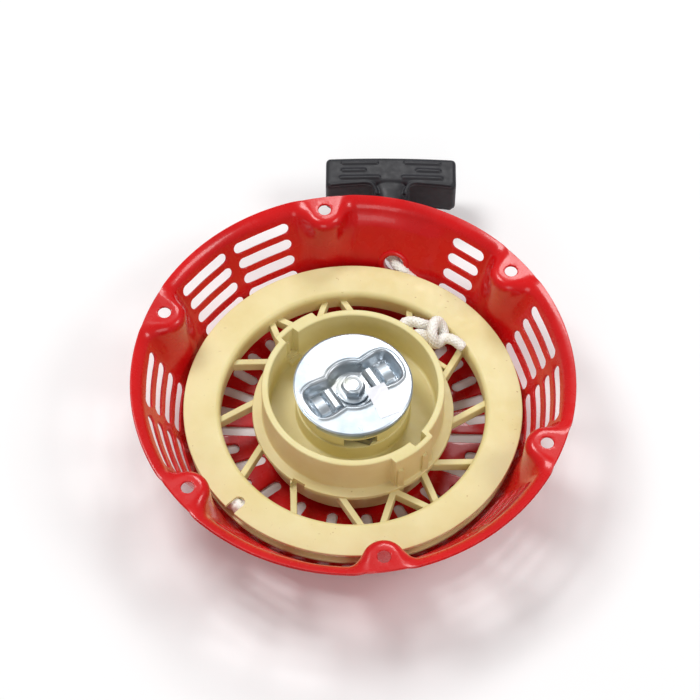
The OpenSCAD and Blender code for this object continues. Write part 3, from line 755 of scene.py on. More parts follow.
@dataclass
class Reel:
    """The moulded reel: rope ring, spokes, cup with two bulges, spring case and pawl collar."""

    ring: tuple = (66.23, 69.83, 83.53, 84.53)
    ring_z: tuple = (-28.0, -30.0, -36.4, -38.4)
    cup: tuple = (41.8, 45.3)
    cup_top: float = -9.3
    cup_floor: float = -31.5
    cup_under: float = -34.0
    case_bottom: float = -51.5
    web_r: float = 50.3
    bulge_out: float = 3.0
    bulge: tuple = (116.0, 144.0)
    recess: tuple = (132.0, 142.0)
    ledge_z: float = -27.5
    collar: tuple = (25.2, 27.4, 28.4)
    collar_top: float = -9.2
    deck_z: float = -21.2
    hub: tuple = (9.05, 12.55)
    hub_z: tuple = (-18.4, -35.0)
    spokes: int = 12
    spoke_w: float = 3.2
    spoke_az: float = 5.0
    spoke_sweep: float = 14.5
    spoke_top: float = -33.0
    notch_az: float = 225.0
    web_notch_az: float = 238.0
    window: tuple = (-99.0, -64.0)
    pin: tuple = (20.0, 2.0, -112.0)

    def rib(self, start: tuple, end: tuple, width: float, low: float, high: float,
            edge: float = 0.45) -> bpy.types.Object:
        """A straight rib between two points given by radius and azimuth, with rounded upper edges.

        Args:
            start: Radius and azimuth of one end.
            end: Radius and azimuth of the other end.
            width: Width at the top.
            low: Height of its underside.
            high: Height of its top.
            edge: Radius of its upper edges.

        Returns:
            The closed rib.
        """
        a, b = (np.array([r * math.cos(math.radians(t)), r * math.sin(math.radians(t))])
                for r, t in (start, end))
        along = (b - a) / np.linalg.norm(b - a)
        side = np.array([-along[1], along[0]])
        half, draft = width / 2, 0.02 * (high - low)
        outline = [(-half - draft, low), (half + draft, low)]
        outline += arc(half - edge, high - edge, edge, 0, 90, 4)
        outline += arc(-half + edge, high - edge, edge, 90, 180, 4)
        rows = [(*(p + side * s), z) for p in (a, b) for s, z in outline]
        count = len(outline)
        faces = grid_faces(2, count, False, True) + [list(range(count)), list(range(count, 2 * count))]
        return make_object("rib", np.array(rows), faces, Finish.REEL.material)

    def rope_ring(self) -> bpy.types.Object:
        """The grooved ring that holds the rope."""
        r_in, r_groove, r_low, r_up = self.ring
        top, upper, lower, bottom = self.ring_z
        e = 0.45
        outline = arc(r_in + 3.0, top - 3.0, 3.0, 180, 90, 10) + arc(r_up - e, top - e, e, 90, 0)
        outline += arc(r_up - e, upper + e, e, 0, -90)
        outline += arc(r_groove + 0.8, upper - 0.8, 0.8, 90, 180)
        outline += arc(r_groove + 0.8, lower + 0.8, 0.8, 180, 270)
        outline += arc(r_low - e, lower - e, e, 90, 0) + arc(r_low - e, bottom + e, e, 0, -90)
        outline += arc(r_in + e, bottom + e, e, -90, -180)
        return lathe("ring", outline, Finish.REEL.material, 300)

    def cup_outline(self, az: float) -> list:
        """The outline of the cup, case, floor, collar and hub at one azimuth."""
        turn = az % 180

        def step(span: tuple, soft: float) -> float:
            """1 between the ends of span, falling to 0 over soft degrees outside it."""
            return float(smooth((turn - span[0]) / soft + 1) * smooth((span[1] - turn) / soft + 1))

        r_in, r_out = self.cup
        out = r_out + self.bulge_out * step(self.bulge, 1.6)
        inner = r_in + (r_out - r_in) * step(self.recess, 0.8)
        low, mid, foot = self.collar
        h_in, h_out = self.hub
        e, top, under = 0.5, self.cup_top, self.cup_under
        outline = [(h_in, self.hub_z[0] - 0.4), (h_in + 0.4, self.hub_z[0])]
        outline += arc(h_out - e, self.hub_z[0] - e, e, 90, 0)
        outline += arc(h_out + 0.6, self.deck_z + 0.6, 0.6, 180, 270)
        outline += [(low, self.deck_z)] + arc(low + e, self.collar_top - e, e, 180, 90)
        outline += arc(mid - e, self.collar_top - e, e, 90, 0) + [(mid, self.deck_z)]
        outline += arc(foot - e, self.deck_z - e, e, 90, 0) + arc(foot + 1, self.cup_floor + 1, 1, 180, 270)
        outline += arc(r_in - 1.4, self.cup_floor + 1.4, 1.4, 270, 360)
        outline += [(r_in, self.ledge_z - 0.3), (r_in + 0.02, self.ledge_z)]
        outline += [(inner + 0.01, self.ledge_z + 0.02), (inner, self.ledge_z + 0.3)]
        outline += arc(inner + 0.9, top - 0.9, 0.9, 180, 90) + arc(out - 0.8, top - 0.8, 0.8, 90, 0)
        outline += arc(out + 0.7, self.cup_floor + 0.7, 0.7, 180, 270)
        outline += arc(self.web_r - e, self.cup_floor - e, e, 90, 0) + [(self.web_r, under)]
        outline += [(r_out, under), (r_out, self.case_bottom), (r_in, self.case_bottom), (r_in, under)]
        return outline + [(h_out, under), (h_out, self.hub_z[1]), (h_in, self.hub_z[1])]

    def cup_turns(self) -> list:
        """Azimuths of the cup's columns, closer together at the bulges' ends."""
        turns = {2.0 * i for i in range(180)}
        for half in (0, 180):
            for edge in (*self.bulge, *self.recess):
                turns |= {round(half + edge + 0.4 * i, 3) for i in range(-5, 6)}
        return sorted(turns)

    def spoke_set(self) -> bpy.types.Object:
        """All plain spokes, set round the axis by a node tree from one spoke."""
        spoke = self.rib((67.2, self.spoke_az), (46.0, self.spoke_az - self.spoke_sweep), self.spoke_w,
                         self.ring_z[3], self.spoke_top)
        return repeat_round(spoke, self.spokes, Finish.REEL.material)

    def braces(self) -> list:
        """The steeper braces, the risers that stand on them at the cup and the knot cell's rib."""
        ribs = []
        for half in (0, 180):
            for outer, inner in ((102.5, 120.5), (128.5, 138.0)):
                ribs.append(self.rib((67.2, outer + half), (44.3, inner + half), self.spoke_w, self.ring_z[3],
                                     self.spoke_top - 0.02))
                ribs.append(self.rib((49.7, inner - 2 + half), (44.3, inner + half), 2.6, self.ring_z[3] + 1,
                                     -17.5))
        ribs += [self.rib((44.0, half), (39.4, half), 7.2, -33.0, -28.4, 0.8) for half in (136.5, 316.5)]
        ribs.append(self.rib((51.3, 38.0), (53.8, 29.5), 2.4, self.ring_z[3] + 0.5, self.spoke_top - 0.05))
        return ribs

    def cutters(self) -> list:
        """Cutters of the rope notch, the web's notch and the pawl windows."""
        tools = [self.rib((87.0, self.notch_az), (78.2, self.notch_az), 6.0, -31.5, -26.0),
                 self.rib((55.0, self.web_notch_az), (49.0, self.web_notch_az), 7.0, -36.0, -30.0)]
        stub = arc(0, 0, 3.0, 0, 345, 23)
        a = math.radians(self.notch_az)
        rows = [(78.2 * math.cos(a) + x, 78.2 * math.sin(a) + y, z) for z in (-31.5, -26.0) for x, y in stub]
        faces = grid_faces(2, 24, False, True) + [list(range(24)), list(range(24, 48))]
        tools.append(make_object("cutter", np.array(rows), faces, Finish.REEL.material))
        for half in (0, 180):
            turns = [half + self.window[0] + i for i in range(int(self.window[1] - self.window[0]) + 1)]
            box = [(24.0, -21.1), (29.6, -21.1), (29.6, -15.6), (24.0, -15.6)]
            rows = [(r * math.cos(math.radians(t)), r * math.sin(math.radians(t)), z)
                    for t in turns for r, z in box]
            faces = grid_faces(len(turns), 4, False, True)
            faces += [[0, 1, 2, 3], [len(rows) - 4 + i for i in range(4)]]
            tools.append(make_object("cutter", np.array(rows), faces, Finish.REEL.material))
        return tools

    def pins(self) -> list:
        """The pins that the pawls turn on."""
        pins = []
        for half in (0, 180):
            a = math.radians(self.pin[2] + half)
            outline = arc(self.pin[1] - 0.4, -16.0, 0.4, 90, 0, 4)
            outline += [(self.pin[1], -22.0), (0.01, -22.0), (0.01, -15.6)]
            pin = lathe("pin", outline, Finish.REEL.material, 24)
            place = (self.pin[0] * math.cos(a) * MM, self.pin[0] * math.sin(a) * MM, 0)
            pin.data.transform(Matrix.Translation(place))
            pins.append(pin)
        return pins

    def build(self) -> None:
        """Builds the reel and dresses what it carries."""
        body = self.rope_ring()
        cup = lathe("cup", self.cup_outline, Finish.REEL.material, azimuths=self.cup_turns())
        boolean(body, [self.spoke_set(), *self.braces(), cup], "UNION")
        boolean(body, self.cutters(), "DIFFERENCE")
        clean(body, 32.0)
        body.name = "reel_moulding"
        give(body, "reel", "reel_plastic", "reel")
        pins = join(self.pins())
        pins.name = "pawl_pins"
        give(pins, "reel", "reel_plastic")
        dress("mainspring", Finish.SPRING)
        for node in ("pawl_a", "pawl_b"):
            dress(node, Finish.PAWL)
        for node in ("pawl_spring_a", "pawl_spring_b"):
            dress(node, Finish.ZINC)


def repeat_round(obj: bpy.types.Object, count: int, material: bpy.types.Material) -> bpy.types.Object:
    """Sets copies of a piece evenly round +Z with a node tree, and makes one mesh of them.

    Args:
        obj: The piece at its first place.
        count: How many there are.
        material: The finish of all of them.

    Returns:
        The same object with the finished mesh.
    """
    tree = bpy.data.node_groups.new("set_round_axis", "GeometryNodeTree")
    face = tree.interface
    face.new_socket("Piece", in_out="INPUT", socket_type="NodeSocketGeometry")
    count_in = face.new_socket("Count", in_out="INPUT", socket_type="NodeSocketInt")
    step_in = face.new_socket("Step", in_out="INPUT", socket_type="NodeSocketFloat")
    face.new_socket("Set", in_out="OUTPUT", socket_type="NodeSocketGeometry")
    names = ("NodeGroupInput", "GeometryNodePoints", "GeometryNodeInputIndex", "ShaderNodeMath",
             "ShaderNodeCombineXYZ", "GeometryNodeInstanceOnPoints", "GeometryNodeRealizeInstances",
             "GeometryNodeSetMaterial", "NodeGroupOutput")
    inputs, points, index, times, turn, place, real, finish, output = (tree.nodes.new(n) for n in names)
    times.operation = "MULTIPLY"
    link = tree.links.new
    link(inputs.outputs["Count"], points.inputs["Count"])
    link(index.outputs[0], times.inputs[0])
    link(inputs.outputs["Step"], times.inputs[1])
    link(times.outputs[0], turn.inputs["Z"])
    link(points.outputs[0], place.inputs["Points"])
    link(inputs.outputs["Piece"], place.inputs["Instance"])
    link(turn.outputs[0], place.inputs["Rotation"])
    link(place.outputs[0], real.inputs[0])
    link(real.outputs[0], finish.inputs["Geometry"])
    finish.inputs["Material"].default_value = material
    link(finish.outputs[0], output.inputs[0])
    modifier = obj.modifiers.new("set_round_axis", "NODES")
    modifier.node_group = tree
    modifier[count_in.identifier] = count
    modifier[step_in.identifier] = 2 * math.pi / count
    plain_copy(obj)
    clean(obj)
    return obj


# ---------------------------------------------------------------- guide plate and bolt


@dataclass
class GuidePlate:
    """The plated pressing over the pawls, with its bow-tie recess, lips and blank sticker."""

    r: float = 29.5
    top: float = -7.0
    sheet: float = 1.6
    depth: float = 6.2
    turn: float = 32.0
    hub_r: float = 11.8
    hole_r: float = 5.55
    roll: tuple = (11.9, 3.2, 6.4)
    pillow: tuple = (15.2, 22.2, 6.6, 2.8)
    lip: tuple = (27.9, -10.8)
    lip_gaps: tuple = ((3.0, 60.0), (158.0, 233.0))
    sticker: tuple = (14.4, -9.3, -66.0, 19.0, 10.2)

    def outline(self, x: Array, y: Array) -> tuple:
        """Distance outside the bow-tie's edge, and the point turned into the bow-tie's own axes."""
        a = math.radians(self.turn)
        u = np.abs(x * math.cos(a) + y * math.sin(a))
        v = -x * math.sin(a) + y * math.cos(a)
        side = ((u - 4) * -1.8 + (np.abs(v) - 7.2) * 16) / 16.1
        corner = (u - 21.6 + np.abs(v) - 9.2) / math.sqrt(2)
        lobe = -round_min(round_min(-side, 24.0 - u, 2.0), -corner, 2.0)
        hub = np.hypot(u, v) - self.hub_r
        return -round_max(-lobe, -hub, 1.6), u, v

    def height(self, x: Array, y: Array) -> Array:
        """Height of the plate's upper surface."""
        out, u, v = self.outline(x, y)
        sink = smooth((1.5 - out) / 3.6)
        z = self.top - self.depth * sink + 0.35 * np.exp(-(((out - 2.3) / 0.9) ** 2))
        reach, r, half = self.roll
        roll = np.sqrt(np.maximum(r * r - (u - reach) ** 2, 0)) * smooth((half + 0.8 - np.abs(v)) / 1.6)
        low, high, wide, tall = self.pillow
        pillow = tall * smooth((u - low + 0.4) / 1.4) * smooth((high + 0.3 - u) / 1.4)
        pillow = pillow * smooth((wide + 0.5 - np.abs(v)) / 1.8) * (1 - 0.012 * v * v)
        z = np.maximum(z, self.top - self.depth + np.maximum(roll, pillow) * sink)
        return z - 0.35 * smooth((np.hypot(x, y) - self.r + 0.8) / 0.8)

    def plate(self) -> bpy.types.Object:
        """The disc with its recess, as one closed sheet."""
        steps = 300
        radii = np.concatenate([[self.hole_r], np.arange(5.9, 28.4, 0.26), np.linspace(28.5, self.r, 6)])
        a = np.radians(np.arange(steps) * 360 / steps)[:, None]
        x, y = radii * np.cos(a), radii * np.sin(a)
        top = np.stack([x, y, self.height(x, y)], -1)
        under = top[:, ::-1].copy()
        under[..., 2] -= self.sheet
        under[:, 0, :2] *= 1 - 0.25 / self.r
        loop = np.concatenate([top, under], 1)
        return make_object("guide_plate_pressing", loop.reshape(-1, 3),
                           grid_faces(steps, loop.shape[1], True, True), Finish.ZINC.material, 45.0)

    def lips(self) -> bpy.types.Object:
        """The turned-down lips on the plate's edge."""
        r_in, low = self.lip
        spans = [(self.lip_gaps[0][1], self.lip_gaps[1][0]), (self.lip_gaps[1][1], 360 + self.lip_gaps[0][0])]
        pieces = []
        for start, end in spans:
            turns = np.radians(np.linspace(start, end, 60))
            box = arc(self.r - 0.4, low + 0.4, 0.4, 0, -90, 3) + arc(r_in + 0.4, low + 0.4, 0.4, -90, -180, 3)
            box += [(r_in, self.top - self.sheet + 0.1), (self.r - 0.02, self.top - self.sheet + 0.1)]
            rows = [(r * math.cos(t), r * math.sin(t), z) for t in turns for r, z in box]
            count = len(box)
            faces = grid_faces(len(turns), count, False, True)
            faces += [list(range(count)), list(range(len(rows) - count, len(rows)))]
            pieces.append(make_object("guide_plate_lips", np.array(rows), faces, Finish.ZINC.material))
        return join(pieces)

    def paper(self) -> bpy.types.Object:
        """The blank sticker, which lies on the plate and dips a little over the recess."""
        cx, cy, turn, long, wide = self.sticker
        a = math.radians(turn)
        u, v = np.meshgrid(np.linspace(-long / 2, long / 2, 60), np.linspace(-wide / 2, wide / 2, 34),
                           indexing="ij")
        x = cx + u * math.cos(a) - v * math.sin(a)
        y = cy + u * math.sin(a) + v * math.cos(a)
        out = self.outline(x, y)[0]
        z = self.top + 0.16 - 1.5 * smooth((1.6 - out) / 5.5) + 0.3 * np.exp(-(((out - 1.7) / 1.1) ** 2))
        top = np.stack([x, y, z], -1)
        under = top - [0, 0, 0.12]
        rows, cols = u.shape
        size = rows * cols
        points = np.concatenate([top.reshape(-1, 3), under.reshape(-1, 3)])
        faces = [tuple(f) for f in grid_faces(rows, cols)]
        faces += [tuple(size + i for i in reversed(f)) for f in grid_faces(rows, cols)]
        rim = [(i, 0) for i in range(rows)] + [(rows - 1, j) for j in range(1, cols)]
        rim += [(i, cols - 1) for i in range(rows - 2, -1, -1)] + [(0, j) for j in range(cols - 2, 0, -1)]
        ids = [i * cols + j for i, j in rim]
        faces += [(p, q, q + size, p + size) for p, q in zip(ids, ids[1:] + ids[:1])]
        return make_object("sticker_blank", points, faces, Finish.LABEL.material, 60.0)

    def build(self) -> None:
        """Builds the pressing and its sticker."""
        plate = self.plate()
        give(plate, "guide_plate", "zinc_plate", "guide_plate")
        give(self.lips(), "guide_plate", "zinc_plate")
        give(self.paper(), "guide_plate", "label", "inspection_sticker")


@dataclass
class SettingBolt:
    """The shouldered hex bolt and its washer."""

    across: float = 10.4
    head: tuple = (-11.8, -7.2)
    washer: tuple = (8.3, -13.0, -11.8)
    shoulder_r: float = 5.5
    thread: tuple = (3.0, -29.0)
    ring_r: float = 3.6

    def hexagon(self, az: float) -> list:
        """Outline of the bolt at one azimuth: shank, shoulder, chamfered hexagon and the ring on top."""
        low, high = self.head
        flat = self.across / 2
        turn = (az % 60) - 30
        edge = flat / math.cos(math.radians(turn))
        crown = flat - 0.35
        fall = 0.55 * (edge - crown)
        outline = [(0.01, high - 0.1), (self.ring_r - 0.7, high - 0.1), (self.ring_r - 0.4, high + 0.12)]
        outline += [(self.ring_r + 0.1, high + 0.16), (self.ring_r + 0.5, high - 0.02), (crown, high - 0.05)]
        outline += [(edge - 0.12, high - 0.1 - fall), (edge, high - 0.35 - fall), (edge, low)]
        outline += [(self.shoulder_r - 0.01, low), (self.shoulder_r - 0.01, -15.0), (self.thread[0], -15.0)]
        return outline + [(self.thread[0], self.thread[1]), (0.01, self.thread[1])]

    def build(self) -> None:
        """Builds both pieces."""
        turns = [2.5 * i + 12.0 for i in range(144)]
        bolt = lathe("hex_bolt", self.hexagon, Finish.ZINC.material, azimuths=turns, sharp_deg=28.0)
        give(bolt, "housing", "zinc_plate", "setting_bolt")
        r_out, low, high = self.washer
        outline = arc(r_out - 0.35, high - 0.35, 0.35, 90, 0, 4)
        outline += arc(r_out - 0.35, low + 0.35, 0.35, 0, -90, 4)
        outline += [(self.shoulder_r + 0.02, low), (self.shoulder_r + 0.02, high)]
        washer = lathe("bolt_flange", outline, Finish.ZINC.material, 120)
        give(washer, "housing", "zinc_plate", "bolt_washer")


# ---------------------------------------------------------------- rope and grip


@dataclass
class StarterRope:
    """The braided rope: its coil on the reel, end knot, lead to the outlet and the part in the grip."""

    r: float = 2.7
    coil_r: tuple = (72.73, 78.33)
    groove_z: float = -33.2
    outlet: tuple = (20.66, 88.09, -30.5)
    leave_az: float = 46.8
    lead_end_y: float = 93.1
    grip_x: float = 18.86
    seat_y: float = 129.1
    reel_r: float = 84.53

    def polar(self, r: float, az: float, z: float) -> tuple:
        """A point from its radius, azimuth in degrees and height."""
        return r * math.cos(math.radians(az)), r * math.sin(math.radians(az)), z

    def smooth_path(self, points: Sequence, step: float) -> Array:
        """A smooth curve through the points, in even steps of about the given length."""
        p = np.array([points[0], *points, points[-1]], float)
        t = np.linspace(0, 1, 24, endpoint=False)[:, None]
        parts = []
        for a, b, c, d in zip(p, p[1:], p[2:], p[3:]):
            parts.append(0.5 * (2 * b + (c - a) * t + (2 * a - 5 * b + 4 * c - d) * t**2
                                + (3 * b - a - 3 * c + d) * t**3))
        line = np.concatenate([*parts, p[-1:]])
        reach = np.concatenate([[0], np.cumsum(np.linalg.norm(np.diff(line, axis=0), axis=1))])
        even = np.linspace(0, reach[-1], max(int(reach[-1] / step), 8))
        return np.stack([np.interp(even, reach, line[:, k]) for k in range(3)], -1)

    def strands(self, line: Array, r: float, count: int, pitch: float) -> list:
        """Centre-lines of the braid's strands, half of them wound each way and woven over and under.

        Args:
            line: The rope's centre-line in even steps.
            r: Radius of the rope.
            count: Strands in each direction.
            pitch: Length of one turn of a strand.

        Returns:
            One array of points for each strand.
        """
        heading = np.gradient(line, axis=0)
        heading /= np.linalg.norm(heading, axis=1)[:, None]
        side = np.cross(heading[0], [0.31, 0.17, 0.93])
        sides = []
        for t in heading:
            side = side - t * (side @ t)
            side = side / np.linalg.norm(side)
            sides.append(side)
        sides = np.array(sides)
        up = np.cross(heading, sides)
        s = np.concatenate([[0], np.cumsum(np.linalg.norm(np.diff(line, axis=0), axis=1))])
        weave = 0.11 * r * np.cos(2 * count * math.pi * s / pitch)
        lines = []
        for way in (1, -1):
            reach = (0.74 * r + way * weave)[:, None]
            for i in range(count):
                a = way * 2 * math.pi * s / pitch + 2 * math.pi * i / count
                lines.append(line + reach * (np.cos(a)[:, None] * sides + np.sin(a)[:, None] * up))
        return lines

    def braid(self, name: str, points: Sequence, r: float, count: int = 8, step: float = 0.4,
              closed_ends: float = 0.7) -> bpy.types.Object:
        """A braided rope along a route.

        Args:
            name: The piece's name.
            points: The route in millimetres.
            r: Radius of the rope.
            count: Strands in each direction.
            step: Length of a step along the rope.
            closed_ends: Share of its radius to which each end is drawn in.

        Returns:
            The strands as one mesh.
        """
        line = self.smooth_path(points, step)
        verts, edges = [], []
        for strand in self.strands(line, r, count, 7.2 * r):
            ends = np.minimum(np.arange(len(strand)), np.arange(len(strand))[::-1]) * step
            pull = closed_ends + (1 - closed_ends) * np.sqrt(np.clip(ends / (0.6 * r), 0, 1))
            strand = line + (strand - line) * pull[:, None]
            edges += [(len(verts) + i, len(verts) + i + 1) for i in range(len(strand) - 1)]
            verts += list(strand)
        mesh = bpy.data.meshes.new(name)
        mesh.from_pydata((np.array(verts) * MM).tolist(), edges, [])
        obj = bpy.data.objects.new(name, mesh)
        bpy.context.scene.collection.objects.link(obj)
        sweep(obj, 0.9 * math.pi * r / count * 0.98 * MM, 6, Finish.ROPE.material)
        return obj

    def knot_route(self) -> list:
        """The overhand knot at the rope's end, over the cell next to the cup."""
        return [(39.6, 58.0, -33.0), (43.0, 53.5, -31.5), (42.6, 48.2, -29.6), (36.5, 47.4, -26.6),
                (30.0, 49.0, -25.8), (25.6, 48.2, -26.4), (24.6, 44.8, -28.2), (28.6, 42.0, -28.4),
                (33.6, 41.8, -26.4), (38.6, 39.0, -25.4), (42.6, 37.6, -27.6), (45.6, 41.6, -28.8),
                (44.8, 46.4, -26.0), (42.2, 47.4, -22.6), (40.0, 43.4, -20.8), (39.6, 38.4, -21.8),
                (41.4, 35.6, -25.6), (45.2, 39.2, -26.2), (50.4, 38.0, -25.6), (55.4, 34.4, -27.0)]

    def coil_route(self) -> list:
        """One full turn of the outer layer, then one of the inner layer."""
        inner, outer = self.coil_r
        route = []
        for a in range(0, 700, 10):
            drop = min(max((a - 290) / 70, 0), 1)
            route.append(self.polar(outer - (outer - inner) * drop, self.leave_az - a, self.groove_z))
        return route

    def lead_route(self) -> list:
        """From the groove through the outlet to the grip."""
        outer = self.coil_r[1]
        x, y, z = self.outlet
        free = math.sqrt(self.reel_r**2 - outer**2)
        a = math.radians(self.leave_az)
        start = np.array(self.polar(outer + 0.2, self.leave_az, self.groove_z))
        along = np.array([-math.sin(a), math.cos(a), 0])
        return [start, start + 0.5 * free * along, start + (free + 2) * along, (x + 4.6, y - 4.6, z - 0.5),
                (x + 2, y - 2, z - 0.1), (x + 0.6, y + 0.3, z), (x - 0.2, y + 2.4, z),
                (self.grip_x, self.lead_end_y, z)]

    def pull_tube(self) -> bpy.types.Object:
        """The length in the grip's stem, which is drawn out of the housing with the grip."""
        rings, steps, r = 360, 24, self.r - 0.2
        a = np.arange(steps) * 2 * math.pi / steps
        y = np.linspace(self.lead_end_y - 2.5, self.seat_y + 2.1, rings)
        rows = np.stack(np.broadcast_arrays(self.grip_x + r * np.cos(a)[None], y[:, None],
                                            self.outlet[2] + r * np.sin(a)[None]), -1).reshape(-1, 3)
        faces = grid_faces(rings, steps, False, True)
        faces += [list(range(steps)), list(range(len(rows) - steps, len(rows)))]
        return make_object("rope_pull_length", rows, faces, Finish.PULL.material)

    def build(self) -> None:
        """Builds every length of the rope."""
        give(self.braid("rope_coil_braid", self.coil_route(), self.r, 4, 1.3), "reel", "rope", "rope_coil")
        give(self.braid("rope_knot_braid", self.knot_route(), self.r * 0.9), "reel", "rope", "rope_knot")
        give(self.braid("rope_lead_braid", self.lead_route(), self.r * 0.96), "housing", "rope", "rope_lead")
        pull = self.pull_tube()
        x, z = self.grip_x, self.outlet[2]
        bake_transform(pull)
        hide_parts("rope_pull")
        LOG.info("%s: stretches between housing and grip", pull.name)
        turn = np.linspace(0, 2 * math.pi, 60)
        knot = np.stack([x + 1.25 * (np.sin(turn) + 2 * np.sin(2 * turn)),
                         self.seat_y + 5.6 - 1.7 * np.sin(3 * turn),
                         z + 1.25 * (np.cos(turn) - 2 * np.cos(2 * turn))], -1)
        give(self.braid("grip_knot_braid", knot, 1.9), "grip", "rope", "grip_knot")


def sweep(obj: bpy.types.Object, r: float, sides: int, material: bpy.types.Material) -> bpy.types.Object:
    """Sweeps a round section along every line of a mesh with a node tree.

    Args:
        obj: A mesh of edges only.
        r: Radius of the section in metres.
        sides: Sides of the section.
        material: The finish.

    Returns:
        The same object with the finished mesh.
    """
    tree = bpy.data.node_groups.new("sweep_strands", "GeometryNodeTree")
    face = tree.interface
    face.new_socket("Lines", in_out="INPUT", socket_type="NodeSocketGeometry")
    radius_in = face.new_socket("Radius", in_out="INPUT", socket_type="NodeSocketFloat")
    sides_in = face.new_socket("Sides", in_out="INPUT", socket_type="NodeSocketInt")
    face.new_socket("Strands", in_out="OUTPUT", socket_type="NodeSocketGeometry")
    names = ("NodeGroupInput", "GeometryNodeMeshToCurve", "GeometryNodeCurvePrimitiveCircle",
             "GeometryNodeCurveToMesh", "GeometryNodeRealizeInstances", "GeometryNodeSetMaterial",
             "NodeGroupOutput")
    inputs, curve, circle, strand, real, finish, output = (tree.nodes.new(n) for n in names)
    link = tree.links.new
    link(inputs.outputs["Lines"], curve.inputs[0])
    link(inputs.outputs["Radius"], circle.inputs["Radius"])
    link(inputs.outputs["Sides"], circle.inputs["Resolution"])
    link(curve.outputs[0], strand.inputs["Curve"])
    link(circle.outputs["Curve"], strand.inputs["Profile Curve"])
    strand.inputs["Fill Caps"].default_value = True
    link(strand.outputs[0], real.inputs[0])
    link(real.outputs[0], finish.inputs["Geometry"])
    finish.inputs["Material"].default_value = material
    link(finish.outputs[0], output.inputs[0])
    modifier = obj.modifiers.new("sweep_strands", "NODES")
    modifier.node_group = tree
    modifier[radius_in.identifier] = r
    modifier[sides_in.identifier] = sides
    plain_copy(obj)
    clean(obj, 60.0)
    return obj


